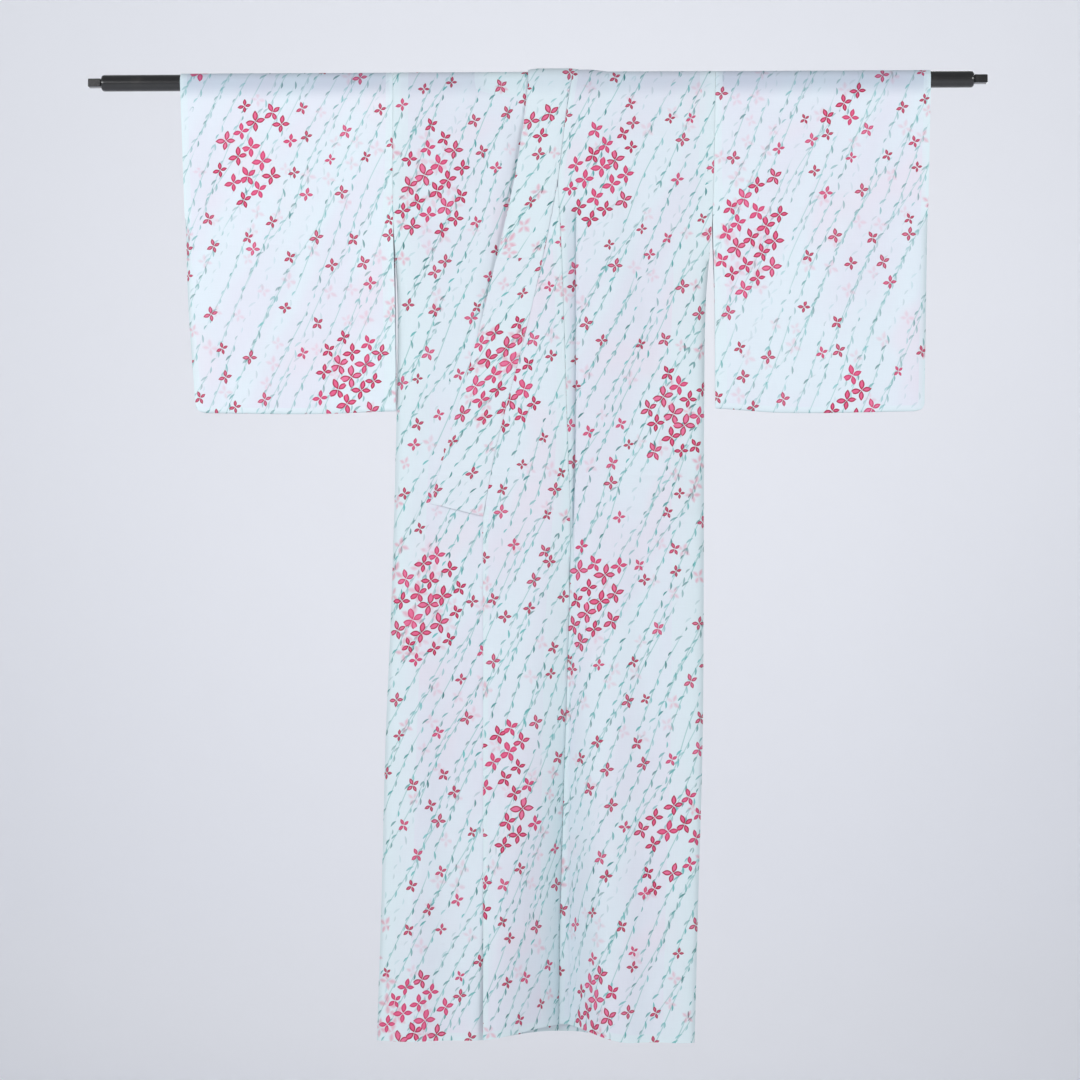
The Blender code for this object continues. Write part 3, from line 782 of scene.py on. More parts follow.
@dataclass(frozen=True)
class FlowerPrint:
    """Small four-petalled flowers, in bouquets and scattered, each cell of a lattice at most one."""

    repeat: float = 0.710
    bouquet_tall: float = 1.70
    bouquet_slant: float = 0.10
    rim_width: float = 0.22
    petal_gap: float = 0.0004
    petal_slim: float = 0.245
    petal_point: float = 1.15
    outline: Pair = (0.00090, 0.00306)
    heart: Pair = (0.06, 0.30)
    cross_tilt: float = 0.22
    uneven: Pair = (-0.05, -0.06)
    spin: Pair = (0.80, 0.12)
    crowd_reach: Pair = (0.2, 1.4)
    crowd_sizes: Pair = (0.74, 1.10)
    own_sizes: Pair = (0.80, 1.16)

    def _bouquet(self) -> Tree:
        """Build the bouquets' node group.

        Returns:
            Group that says how far from a bouquet's middle a place is, in shares of its half.
        """
        g = Effect("bouquet", ("Place", "Bouquet"), (), ("Away",))
        place, bouquet = g.given
        x, y, _ = g.split(place)
        middle_x, middle_y, half = g.split(bouquet)
        down = g.math("WRAP", g.less(y, middle_y), self.repeat / 2, -self.repeat / 2)
        side = g.add(g.less(x, middle_x), g.times(down, self.bouquet_slant))
        side = g.math("DIVIDE", side, half)
        down = g.math("DIVIDE", down, g.times(half, self.bouquet_tall))
        away = g.math("SQRT", g.add(g.times(side, side), g.times(down, down)))
        return g.close(Away=away)

    def _petal_pair(self) -> Tree:
        """Build the node group of two opposite petals.

        Returns:
            Group that says how far inside a petal a place is, and how far along it.
        """
        numbers = ("Aside", "Along", "Length", "Uneven")
        g = Effect("petal_pair", (), numbers, ("Inside", "Share"))
        aside, along, whole, uneven = g.given
        side = g.times(g.math("SIGN", along), uneven)
        length = g.times(whole, g.add(side, 1.0))
        share = g.less(g.math("ABSOLUTE", along), self.petal_gap)
        share = g.math("DIVIDE", share, g.less(length, self.petal_gap))
        share = g.math("MINIMUM", g.math("MAXIMUM", share, 0.0), 1.0)
        width = g.math("POWER", g.times(share, g.less(1.0, share)), self.petal_point)
        width = g.times(width, g.times(length, self.petal_slim * 4.0 ** self.petal_point))
        beyond = g.math("MAXIMUM", g.less(g.math("ABSOLUTE", along), length), 0.0)
        inside = g.less(g.less(width, g.math("ABSOLUTE", aside)), beyond)
        return g.close(Inside=inside, Share=share)

    def group(self) -> Tree:
        """Build the flowers' node group.

        Returns:
            Group with the masks of petals and outlines and a random tone for each flower.
        """
        bouquet = self._bouquet()
        pair = self._petal_pair()
        g = Effect(
            "four_petal_flowers", ("Place", "Seed", "Bouquet 1", "Bouquet 2", "Bouquet 3"),
            ("Pitch", "Scatter", "Turn", "Petal", "Rim", "Chance in", "Chance out", "Blur"),
            ("Petals", "Outline", "Tone"),
        )
        place, seed, *bouquets, pitch, scatter, turn, petal, rim, chance_in, chance_out, blur = g.given
        cells = g.scaled(place, g.math("DIVIDE", 1.0, pitch))
        cells = g.turned(g.vector("ADD", cells, seed), turn)
        lattice = g.fed(
            "ShaderNodeTexVoronoi",
            {"Vector": cells, "Scale": 1.0, "Randomness": scatter},
            voronoi_dimensions="2D",
        ).outputs
        present, spin, tone = g.parts(lattice["Color"])
        turn_back = g.times(turn, -1.0)
        from_middle = g.turned(g.vector("SUBTRACT", cells, lattice["Position"]), turn_back)
        from_middle = g.scaled(from_middle, pitch)
        flat_middle = g.vector("SUBTRACT", place, from_middle)
        aways = [g.use(bouquet, Place=flat_middle, Bouquet=one)["Away"] for one in bouquets]
        away = g.math("MINIMUM", g.math("MINIMUM", aways[0], aways[1]), aways[2])
        share = g.less(1.0, g.step(away, g.less(rim, self.rim_width), rim))
        chance = g.between(chance_out, chance_in, share)
        present = g.math("LESS_THAN", present, chance)
        angle = g.add(g.times(g.less(spin, 0.5), self.spin[0]), self.spin[1])
        near = g.less(1.0, g.step(away, *self.crowd_reach))
        size = g.times(g.between(*self.crowd_sizes, near), g.between(*self.own_sizes, tone))
        length = g.times(petal, size)
        x, y, _ = g.split(g.turned(from_middle, angle))
        upright = g.use(pair, Aside=x, Along=y, Length=length, Uneven=self.uneven[0])
        cosine, sine = math.cos(self.cross_tilt), math.sin(self.cross_tilt)
        tilt_x = g.less(g.times(x, cosine), g.times(y, sine))
        tilt_y = g.add(g.times(x, sine), g.times(y, cosine))
        level = g.use(pair, Aside=tilt_y, Along=tilt_x, Length=length, Uneven=self.uneven[1])
        inside = g.math("MAXIMUM", upright["Inside"], level["Inside"])
        along = g.math("MAXIMUM", upright["Share"], level["Share"])
        sharp = g.step(inside, g.times(blur, -0.5), blur)
        petals = g.times(sharp, present)
        outline = g.less(1.0, g.step(inside, *self.outline))
        outline = g.math("MAXIMUM", outline, g.less(1.0, g.step(along, *self.heart)))
        return g.close(Petals=petals, Outline=outline, Tone=tone)


@dataclass(frozen=True)
class WillowPrint:
    """Thin willow twigs that slant down to the viewer's left, with small leaves on both sides."""

    leaf_pitch: float = 0.0166
    leaf_shift: float = 5.0
    leaf_row: float = 0.37
    leaf_places: Pair = (0.38, 0.62)
    leaf_missing: float = 0.07
    leaf_reaches: Pair = (0.0050, 0.0084)
    leaf_widths: Pair = (0.00142, 0.00200)
    leaf_offset: float = 0.0021
    leaf_turns: Pair = (0.12, 0.52)
    leaf_bend: float = 0.0012
    leaf_edge: float = 0.0005
    leaf_least_ink: float = 0.52
    leaf_bare_ink: float = 0.30
    pair_chance: float = 0.03
    pair_shuffle: float = 7.0
    twig_edge: Pair = (0.000432, 0.001296)
    twig_places: Pair = (0.34, 0.66)
    sway: float = 0.0045
    sway_length: float = 0.37
    drift: float = 0.016
    drift_scale: float = 5.0
    run_length: float = 0.21
    run_shift: float = 9.0
    run_missing: float = 0.14
    run_taper: float = 0.20

    def group(self) -> Tree:
        """Build the twigs' node group.

        Returns:
            Group with the masks of twigs and leaves and a random tone for each leaf.
        """
        numbers = ("Lean", "Spacing", "Seed")
        g = Effect("willow_twigs", ("Place",), numbers, ("Twig", "Leaf", "Tone"))
        place, lean, spacing, seed = g.given
        side, down, _ = g.split(g.turned(place, g.times(lean, -1.0)))
        wave = g.math("SINE", g.times(g.add(down, seed), math.tau / self.sway_length))
        side = g.add(side, g.times(wave, self.sway))
        drift = g.less(g.noise(place, self.drift_scale, 1.0), 0.5)
        side = g.add(side, g.times(drift, self.drift))
        strip = g.add(g.math("DIVIDE", side, spacing), seed)
        number = g.math("FLOOR", strip)
        first, second, third = g.chance(number, seed)
        from_twig = g.less(g.math("FRACT", strip), g.between(*self.twig_places, first))
        from_twig = g.times(from_twig, spacing)
        run = g.add(g.math("DIVIDE", down, self.run_length), g.times(second, self.run_shift))
        run_chance = g.chance(number, g.math("FLOOR", run))[0]
        grown = g.math("GREATER_THAN", run_chance, self.run_missing)
        taper = g.math("PINGPONG", g.math("FRACT", run), 0.5)
        steps = g.add(g.math("DIVIDE", down, self.leaf_pitch), g.times(third, self.leaf_shift))
        leaf_number = g.math("FLOOR", steps)
        hand = g.math("FLOORED_MODULO", leaf_number, 2.0)
        hand = g.less(g.times(hand, 2.0), 1.0)
        here, tone, size = g.chance(leaf_number, g.add(number, self.leaf_row))
        pair = g.math("FRACT", g.times(here, self.pair_shuffle))
        pair = g.math("LESS_THAN", pair, self.pair_chance)
        hand = g.between(hand, g.math("SIGN", from_twig), pair)
        up = g.less(g.math("FRACT", steps), g.between(*self.leaf_places, size))
        up = g.times(up, self.leaf_pitch)
        leaf = g.join(g.less(from_twig, g.times(hand, self.leaf_offset)), up)
        turn = g.times(hand, g.between(*self.leaf_turns, size))
        aside, along, _ = g.split(g.turned(leaf, turn))
        along = g.math("DIVIDE", along, g.between(*self.leaf_reaches, size))
        width = g.times(g.less(1.0, g.times(along, along)), g.between(*self.leaf_widths, size))
        bend = g.times(g.times(along, along), g.times(hand, self.leaf_bend))
        inside = g.less(width, g.math("ABSOLUTE", g.add(aside, bend)))
        inked = g.step(inside, 0.0, self.leaf_edge)
        inked = g.times(inked, g.math("GREATER_THAN", here, self.leaf_missing))
        inked = g.times(inked, g.between(self.leaf_bare_ink, 1.0, grown))
        inked = g.times(inked, g.between(self.leaf_least_ink, 1.0, here))
        line = g.less(1.0, g.step(g.math("ABSOLUTE", from_twig), *self.twig_edge))
        twig = g.times(g.times(line, grown), g.step(taper, 0.0, self.run_taper))
        return g.close(Twig=twig, Leaf=inked, Tone=tone)


@dataclass(frozen=True)
class LinenWeave:
    """Plain weave of uneven linen threads."""

    threads: float = 1500.0
    thread_height: float = 0.35
    slub_scale: Pair = (900.0, 38.0)

    def group(self) -> Tree:
        """Build the weave's node group.

        Returns:
            Group with the height of the threads and their uneven colour.
        """
        g = Effect("linen_weave", ("Place",), (), ("Height", "Slub"))
        x, y, _ = g.split(g.given[0])
        warp = g.math("SINE", g.times(x, self.threads * math.pi))
        weft = g.math("SINE", g.times(y, self.threads * math.pi))
        weave = g.times(warp, weft)
        fine, long = self.slub_scale
        upright = g.noise(g.join(g.times(x, fine), g.times(y, long)), 1.0, 1.0)
        lying = g.noise(g.join(g.times(x, long), g.times(y, fine)), 1.0, 1.0)
        slub = g.times(g.add(upright, lying), 0.5)
        height = g.add(g.times(weave, self.thread_height), slub)
        return g.close(Height=height, Slub=slub)


@dataclass(frozen=True)
class Bouquet:
    """A place where the print's flowers crowd together, repeated down the cloth."""

    across: float
    along: float
    half: float

    def as_vector(self, run: int) -> Triple:
        """The bouquet as the node group takes it, on a panel that runs one way or the other."""
        return (self.across * run, self.along, self.half)


@dataclass(frozen=True)
class InkSet:
    """Colours of the dyed cloth, the rod seen through it and the painted shade in its folds, in linear
    light.
    """

    ground: tuple = (0.775, 0.800, 0.885, 1.0)
    mint: tuple = (0.765, 0.848, 0.910, 1.0)
    blush: tuple = (0.830, 0.765, 0.850, 1.0)
    doubled: tuple = (0.752, 0.868, 0.905, 1.0)
    twig: tuple = (0.300, 0.570, 0.560, 1.0)
    leaf_dark: tuple = (0.010, 0.170, 0.175, 1.0)
    leaf_pale: tuple = (0.150, 0.530, 0.540, 1.0)
    crimson: tuple = (0.390, 0.006, 0.046, 1.0)
    madder: tuple = (0.600, 0.050, 0.150, 1.0)
    pink: tuple = (0.800, 0.120, 0.260, 1.0)
    rose: tuple = (0.835, 0.190, 0.350, 1.0)
    over_rod: tuple = (0.620, 0.665, 0.720, 1.0)
    # Painted shade, multiplied into the cloth in its folds and creases.
    fold_shade_tint: tuple = (0.480, 0.590, 0.610, 1.0)


@dataclass(frozen=True)
class TwigLayer:
    """One pass of willow twigs over the cloth."""

    lean: float
    spacing: float
    shift: float
    ink: float


@dataclass(frozen=True)
class FlowerLayer:
    """One pass of flowers over the cloth."""

    pitch: float
    scatter: float
    shift: Pair
    turn: float
    petal: float
    rim: float
    chance_in: float
    chance_out: float
    blur: float = 0.00035

    def lay(self, g: Graph, flowers: Tree, place: Value, seed: float, places: dict) -> dict:
        """Place the flowers' node group for this pass.

        Args:
            g: Graph of the material.
            flowers: The flowers' node group.
            place: Place on the bolt.
            seed: The panel's own shift.
            places: The panel's bouquets, by the group's input.

        Returns:
            The group's outputs.
        """
        return g.use(
            flowers, Place=place, Pitch=self.pitch, Scatter=self.scatter,
            Seed=(self.shift[0] + seed, self.shift[1], 0.0), Turn=self.turn, Petal=self.petal,
            Rim=self.rim, Chance_in=self.chance_in, Chance_out=self.chance_out, Blur=self.blur,
            **places,
        )


@dataclass
class Dyer:
    """Makes the printed linen, one material for each way that the print falls on a panel."""

    inks: InkSet = InkSet()
    twigs: tuple[TwigLayer, ...] = (TwigLayer(0.41, 0.027, 1.7, 1.0), TwigLayer(0.50, 0.062, 5.2, 0.85))
    single: FlowerLayer = FlowerLayer(
        pitch=0.056, scatter=0.80, shift=(3.1, 7.7), turn=0.35, petal=0.0158, rim=1.40,
        chance_in=0.0, chance_out=0.76,
    )
    crowd: FlowerLayer = FlowerLayer(
        pitch=0.0318, scatter=0.28, shift=(0.0, 1.3), turn=0.62, petal=0.0174, rim=1.18,
        chance_in=0.95, chance_out=0.0,
    )
    ghost: FlowerLayer = FlowerLayer(
        pitch=0.036, scatter=0.70, shift=(4.0, 2.6), turn=0.20, petal=0.0178, rim=1.20,
        chance_in=0.90, chance_out=0.24, blur=0.0044,
    )
    ghost_mirror: Pair = (0.115, 0.004)
    ghost_shares: Pair = (0.24, 0.58)
    single_ink: float = 0.95
    twig_ink: float = 0.68
    leaf_ink: float = 0.95
    leaf_tones: float = 0.7
    petal_tones: Pair = (0.55, 0.85)
    outline_tones: Pair = (0.55, 0.80)
    outline_shuffle: float = 7.0
    cloud_slant: Pair = (0.40, 0.35)
    cloud_scale: float = 9.0
    cloud_range: Pair = (0.36, 0.66)
    blush_scale: float = 7.0
    blush_range: Pair = (0.56, 0.76)
    blush_share: float = 0.5
    doubled_edge: Pair = (0.985, 1.015)
    doubled_reach: float = 0.85
    doubled_least: float = 0.55
    wrong_side_fade: float = 0.45
    rod_reach: Pair = (0.026, 0.060)
    rod_through_doubled: float = 0.5
    fleck: Pair = (0.962, 1.030)
    roughness: Pair = (0.86, 0.72)
    shine: float = 0.25
    sheen: float = 0.08
    thread_relief: float = 0.00022
    thread_strength: float = 0.6

    def __post_init__(self) -> None:
        """Build the groups that all of the materials share."""
        self.flowers = FlowerPrint().group()
        self.willow = WillowPrint().group()
        self.weave = LinenWeave().group()




    def _ground(self, g: Graph, place: Value, double: Value) -> Socket:
        """Colour of the cloth beneath its print.

        Args:
            g: Graph of the material.
            place: Place on the bolt.
            double: Share of doubled cloth.

        Returns:
            The colour.
        """
        inks = self.inks
        x, y, _ = g.split(place)
        across, down = self.cloud_slant
        slanting = g.join(g.add(x, g.times(y, across)), g.times(y, down))
        cloud = g.noise(slanting, self.cloud_scale, 2.0)
        colour = g.paint(g.step(cloud, *self.cloud_range), inks.ground, inks.mint)
        warm = g.step(g.noise(place, self.blush_scale, 1.0), *self.blush_range)
        colour = g.paint(g.times(warm, self.blush_share), colour, inks.blush)
        return g.paint(double, colour, inks.doubled)

    def _print(
        self, g: Graph, place: Value, places: dict[str, tuple], seed: float, double: Value,
        faint: float,
    ) -> Socket:
        """Colour of the printed cloth.

        Args:
            g: Graph of the material.
            place: Place on the bolt.
            places: The panel's bouquets, by the flower group's input.
            seed: The panel's own shift.
            double: Share of doubled cloth.
            faint: Share of the twigs' full ink.

        Returns:
            The colour.
        """
        inks = self.inks
        colour = self._ground(g, place, double)
        for layer in self.twigs:
            strength = layer.ink * faint
            twigs = g.use(
                self.willow, Place=place, Lean=layer.lean, Spacing=layer.spacing,
                Seed=layer.shift + seed,
            )
            colour = g.paint(g.times(twigs["Twig"], self.twig_ink * strength), colour, inks.twig)
            tone = g.math("POWER", twigs["Tone"], self.leaf_tones)
            leaf = g.paint(tone, inks.leaf_dark, inks.leaf_pale)
            colour = g.paint(g.times(twigs["Leaf"], self.leaf_ink * strength), colour, leaf)
        for layer, ink in ((self.single, self.single_ink), (self.crowd, 1.0)):
            laid = layer.lay(g, self.flowers, place, seed, places)
            inner = g.paint(g.step(laid["Tone"], *self.petal_tones), inks.pink, inks.rose)
            thinned = g.math("FRACT", g.times(laid["Tone"], self.outline_shuffle))
            outer = g.paint(g.step(thinned, *self.outline_tones), inks.crimson, inks.madder)
            petal = g.paint(laid["Outline"], inner, outer)
            colour = g.paint(g.times(laid["Petals"], ink), colour, petal)
        x, y, _ = g.split(place)
        mirrored = g.join(g.less(self.ghost_mirror[0], x), g.add(y, self.ghost_mirror[1]))
        ghost = self.ghost.lay(g, self.flowers, mirrored, seed, places)
        ghost_share = g.times(ghost["Petals"], g.between(*self.ghost_shares, double))
        return g.paint(ghost_share, colour, inks.pink)

    def linen(
        self, name: str, bouquets: Sequence[Bouquet], run: int, seed: float,
        all_double: float = 0.0, rod_shade: float = 0.55, faint: float = 1.0,
        shade: float = 0.95,
    ) -> Material:
        """Printed linen for one panel.

        Args:
            name: Name of the material.
            bouquets: Three bouquets, in the panel's own flat metres.
            run: 1 where the panel's width runs to the viewer's right, else -1.
            seed: Shift of everything random in the print.
            all_double: How much the whole panel shows as doubled cloth.
            rod_shade: How much the rod behind the cloth shows through it.
            faint: Share of the twigs' full ink.
            shade: Painted shade: share of the colour kept over the whole panel, under 1 on the body for
                the shaded hollow behind it.

        Returns:
            The material.
        """
        material, g, shader = new_finish(name)
        place = g.node("ShaderNodeUVMap", uv_map="cloth").outputs[0]
        edge, wrong, painted_fold_shade = [
            g.node("ShaderNodeAttribute", attribute_name=label).outputs["Fac"]
            for label in ("doubled", "wrong_side", "painted_fold_shade")
        ]
        folded = g.less(1.0, g.step(edge, *self.doubled_edge))
        depth = g.between(1.0, self.doubled_least, g.step(edge, 0.0, self.doubled_reach))
        double = g.math("MAXIMUM", g.times(folded, depth), all_double)
        places = {f"Bouquet_{n}": b.as_vector(run) for n, b in enumerate(bouquets, start=1)}
        colour = self._print(g, place, places, seed, double, faint)
        colour = g.paint(g.times(wrong, self.wrong_side_fade), colour, self.inks.ground)
        _, along, _ = g.split(place)
        over_rod = g.less(1.0, g.step(g.math("ABSOLUTE", along), *self.rod_reach))
        through = g.between(rod_shade, self.rod_through_doubled * rod_shade, double)
        over_rod = g.times(over_rod, through)
        colour = g.paint(over_rod, colour, self.inks.over_rod, "MULTIPLY")
        # Painted shade: darkens the cloth down the valley, along the tuck's line and beside the seam.
        colour = g.paint(painted_fold_shade, colour, self.inks.fold_shade_tint, "MULTIPLY")
        weave = g.use(self.weave, Place=place)
        # Painted shade: the whole panel's colour is scaled by shade, which darkens the body panels.
        fleck = g.between(self.fleck[0] * shade, self.fleck[1] * shade, weave["Slub"])
        colour = g.vector("MULTIPLY", colour, g.join(fleck, fleck, fleck))
        g.set(shader, {
            "Base Color": colour, "Roughness": g.between(*self.roughness, weave["Slub"]),
            "Specular IOR Level": self.shine, "Sheen Weight": self.sheen,
        })
        g.bump(shader, weave["Height"], self.thread_relief, self.thread_strength)
        return material


@dataclass(frozen=True)
class Lacquer:
    """Black lacquer on turned wood, with the faint ripple of a brushed coat."""

    colour: tuple = (0.006, 0.006, 0.007, 1.0)
    worn: tuple = (0.022, 0.020, 0.019, 1.0)
    worn_range: Pair = (0.55, 0.85)
    worn_scale: float = 45.0
    streak_scales: Pair = (6.0, 90.0)
    roughness: Pair = (0.16, 0.30)
    coat: float = 0.6
    coat_roughness: float = 0.08
    ripple: float = 0.00015
    ripple_strength: float = 0.25

    def material(self) -> Material:
        """Build the lacquer.

        Returns:
            The material.
        """
        material, g, shader = new_finish("black_lacquer")
        x, y, z = g.split(g.node("ShaderNodeTexCoord").outputs["Object"])
        round_rod = g.add(y, z)
        along, across = self.streak_scales
        streak = g.noise(g.join(g.times(x, along), g.times(round_rod, across)), 1.0, 3.0)
        spots = g.join(g.times(x, self.worn_scale), g.times(round_rod, self.worn_scale))
        worn = g.step(g.noise(spots, 1.0, 4.0), *self.worn_range)
        g.set(shader, {
            "Base Color": g.paint(worn, self.colour, self.worn),
            "Roughness": g.between(*self.roughness, streak), "Coat Weight": self.coat,
            "Coat Roughness": self.coat_roughness,
        })
        g.bump(shader, streak, self.ripple, self.ripple_strength)
        return material


def row_steps(start: float, end: float, step: float) -> Array:
    """Rows from start to end, with more of them on the storage creases.

    Args:
        start: First drop.
        end: Last drop.
        step: Distance between rows, about.

    Returns:
        The drops.
    """
    even = np.linspace(start, end, max(int(round(abs(end - start) / step)), 1) + 1)
    lines = [crease.drop for crease in FRONT_CREASES + BACK_CREASES + SLEEVE_CREASES]
    close = [line + side for line in lines for side in (-CREASE_ROW_OFFSET, 0.0, CREASE_ROW_OFFSET)]
    close = [row for row in close if start < row < end]
    free = [
        row for row in even
        if not close or min(abs(row - line) for line in close) > CREASE_ROW_CLEAR
    ]
    return np.unique(np.round(np.array(free + close + [start, end]), 6))


def arc_lengths(points: Array, axis: int) -> Array:
    """Length run along a grid of points, from its first row or column."""
    runs = np.cumsum(np.linalg.norm(np.diff(points, axis=axis), axis=-1), axis=axis)
    return np.concatenate([np.zeros_like(np.take(runs, [0], axis=axis)), runs], axis=axis)


@dataclass
class Wardrobe:
    """What every sub-assembly shares: the hanging shape, the dyer and the body it rides on."""

    shape: HangingCloth
    dyer: Dyer
    body: str = "root"
    cell: float = 0.0075
    skin: Pair = (0.0003, 0.0012)
    hem_allowance: float = 0.013
    roll_steps: int = 8

    def over_rod(self, fall: Array) -> tuple[Array, Array]:
        """Rows from the back's end over the rod to the front's.

        Args:
            fall: Drops of the rows that hang on each side, by row and column.

        Returns:
            Drops of all rows, and which of the rows lie on the back.
        """
        rolled = np.linspace(-self.shape.roll_arc, 0.0, self.roll_steps + 1)[:, None]
        rolled = rolled + np.zeros_like(fall[:1])
        drops = np.concatenate([fall[::-1], rolled[-2::-1], rolled[1:], fall[1:]])
        return drops, (np.arange(len(drops)) < len(fall) + self.roll_steps)[:, None]

    def fit(
        self, grid: SheetGrid, name: str, material: Material, nodes: Sequence[str],
        flat: Pair, rests_on: Sequence[str], area: float | None = None,
    ) -> None:
        """Make a sheet, dress it, put it on its body and hide the solids that it stands for.

        Args:
            grid: The sheet's two faces.
            name: Name of the piece.
            material: Its finish.
            nodes: Solids that it stands for.
            flat: Width and length of its cut; not used.
            rests_on: What carries it; not used.
            area: Flat area of the cut, where it isn't a rectangle; not used.
        """
        item = grid.make(name)
        item.data.materials.append(material)
        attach(item, self.body)
        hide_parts(*nodes)
        log.info("%s: %d faces for %d solids", name, len(item.data.polygons), len(nodes))


@dataclass
class BodyWidths:
    """The two body widths, each one length of cloth up the front, over the rod and down the back."""

    kit: Wardrobe
    columns: int = 28
    seam_column: float = 0.0014
    tuck_shares: tuple[float, ...] = (0.30, 0.55, 0.78, 0.93)
    # strip_shade and seam_shade set painted shade on the left front: in the tuck's strip and down the
    # seam in the valley.
    strip_shade: tuple[float, ...] = (0.12, 0.20, 0.28, 0.40)
    past_tuck: tuple[float, ...] = (0.0, 0.0012, 0.0026, 0.0050, 0.0085, 0.0130)
    least_tuck: float = 0.0060
    seam_shade: Pair = (0.45, 1.0)
    seam_shade_starts: Pair = (0.19, 0.24)
    seam_shade_grows: Pair = (0.66, 0.84)
    side_allowances: Triple = (0.026, 0.060, 0.056)
    allowance_widens: Pair = (0.25, 0.34)
    allowance_narrows: Pair = (0.60, 0.90)
    middle_allowance: float = 0.010
    facing_width: float = 0.1040
    facing_reaches: Pair = (0.0660, 0.0415)
    facing_edge: float = 0.25
    flat: Pair = (0.310, 3.280)
    seeds: Pair = (0.0, 11.0)
    stretches: tuple[str, ...] = ("upper", "waist", "skirt", "hem")
    left_bouquets: tuple[Bouquet, ...] = (
        Bouquet(0.190, 0.190, 0.052), Bouquet(0.052, 0.592, 0.048), Bouquet(0.300, 0.560, 0.030)
    )
    right_bouquets: tuple[Bouquet, ...] = (
        Bouquet(0.066, 0.200, 0.056), Bouquet(0.240, 0.540, 0.046), Bouquet(0.300, 0.020, 0.025)
    )

    def _inner_edge(self, drop: Array, behind: Array, side: Side) -> Array:
        """Edge toward the garment's middle.

        Args:
            drop: Drops of the rows.
            behind: Which of them lie on the back.
            side: The wearer's side.

        Returns:
            x of the edge by row.
        """
        shape = self.kit.shape
        hung = np.maximum(drop, 0.0)
        front = shape.front_inner(hung)
        if side is Side.RIGHT:
            front = shape.mirrored(front, hung)
        middle = (shape.side_low.at(drop) + shape.side_high.at(drop)) / 2
        middle = middle * ease(drop, shape.neck_drop, shape.body_length)
        back = middle + side.sense * (shape.neck_cut(hung) + shape.gap / 2)
        over = ease(drop, -shape.roll_arc, 0.0)
        back = np.where(drop < 0.0, mix(front, back, over), back)
        return np.where(behind, back, front)

    def _close_columns(self, drop: Array, behind: Array) -> Array:
        """Columns near the inner edge, close together at the tuck's line.

        Args:
            drop: Drops of the rows.
            behind: Which of them lie on the back.

        Returns:
            Distances from the inner edge, by row and column.
        """
        shape = self.kit.shape
        hung = np.where(behind, 0.0, np.maximum(drop, 0.0))
        width = np.maximum(shape.tuck_edge.at(hung) - shape.front_inner(hung), self.least_tuck)
        near = np.array((0.0, self.seam_column)) * np.ones_like(width)
        strip = np.array(self.tuck_shares) * width
        return np.concatenate([near, strip, width + np.array(self.past_tuck)], axis=1)

    def _painted_fold_shade(self, drop: Array, behind: Array, columns: int) -> Array:
        """How much painted shade darkens the left front: down its seam in the valley, on the tuck's line
        and in the strip beside it.

        Args:
            drop: Drops of the rows.
            behind: Which of them lie on the back.
            columns: Number of columns.

        Returns:
            Darkness by row and column.
        """
        painted_fold_shade = np.zeros((len(drop), columns))
        seam = mix(*self.seam_shade, ease(drop, *self.seam_shade_grows))
        seam = ease(drop, *self.seam_shade_starts) * seam
        painted_fold_shade[:, -1:] = np.where(behind, 0.0, seam)
        shown = np.where(behind, 0.0, self.kit.shape.tuck_shown(drop))
        shades = np.array((1.0,) + self.strip_shade[::-1])
        painted_fold_shade[:, -2 - len(shades):-2] = shown * shades
        return painted_fold_shade

    def _doubled(self, side: Side, across: Array, along: Array, to_hem: Array) -> Array:
        """Place in the doubled cloth beside the seams, the hem and the neck.

        Args:
            side: The wearer's side.
            across: Distances from the side seam.
            along: Distances along the cloth from the shoulder line.
            to_hem: Distances to the hem.

        Returns:
            Values under 1 where the cloth is doubled.
        """
        top, waist, skirt = self.side_allowances
        width = mix(top, waist, ease(np.abs(along), *self.allowance_widens))
        width = mix(width, skirt, ease(np.abs(along), *self.allowance_narrows))
        to_middle = across[:, -1:] - across
        doubled = np.minimum(across / width, to_middle / self.middle_allowance)
        doubled = np.minimum(doubled, to_hem / self.kit.hem_allowance)
        if side is Side.LEFT:
            return doubled
        share = to_middle / self.facing_width
        reach = mix(*self.facing_reaches, np.minimum(share, 1.0))
        share = np.maximum(share, np.abs(along) / reach)
        return np.minimum(doubled, np.maximum(1.0 + (share - 1.0) / self.facing_edge, 0.0))


    def build(self, side: Side) -> None:
        """Make one body width.

        Args:
            side: The wearer's side.
        """
        shape = self.kit.shape
        row, behind = self.kit.over_rod(row_steps(0.0, shape.body_length, self.kit.cell)[:, None])
        edge = side.choose(shape.side_high, shape.side_low).at(np.maximum(row, 0.0))
        close = side.sense * self._close_columns(row, behind)[:, ::-1]
        close = self._inner_edge(row, behind, side) + close
        shares = np.linspace(0.0, 1.0, self.columns)[None, :-1]
        x = np.concatenate([mix(edge, close[:, :1], shares), close], axis=1)
        front, back = shape.hem_drop(side.layer, row, x), shape.hem_drop(Layer.BACK, row, x)
        drops = np.where(behind, back, front)
        lift = np.zeros_like(x)
        if side is Side.LEFT:
            lift = shape.top_lift(x, np.maximum(drops, 0.0))
            lift = lift * np.where(behind, 1.0 - ease(row, -shape.roll_arc, 0.0), 1.0)
        faces = []
        for skin in self.kit.skin:
            front = shape.place(shape.depth, side.layer, x, drops, lift + skin)
            back = shape.place(shape.depth, Layer.BACK, x, drops, lift + skin)
            faces.append(np.where(behind[:, :, None], back, front))
        across = arc_lengths(faces[1], 1)
        along = np.where(behind, -1.0, 1.0) * (drops + shape.roll_arc)
        doubled = self._doubled(side, across, along, shape.body_length - row)
        grid = SheetGrid(*faces, across, along, doubled, -side.sense)
        if side is Side.LEFT:
            grid.painted_fold_shade = self._painted_fold_shade(row, behind, x.shape[1])
        name = f"body_{side.value}"
        bouquets = side.choose(self.left_bouquets, self.right_bouquets)
        seed = side.choose(*self.seeds)
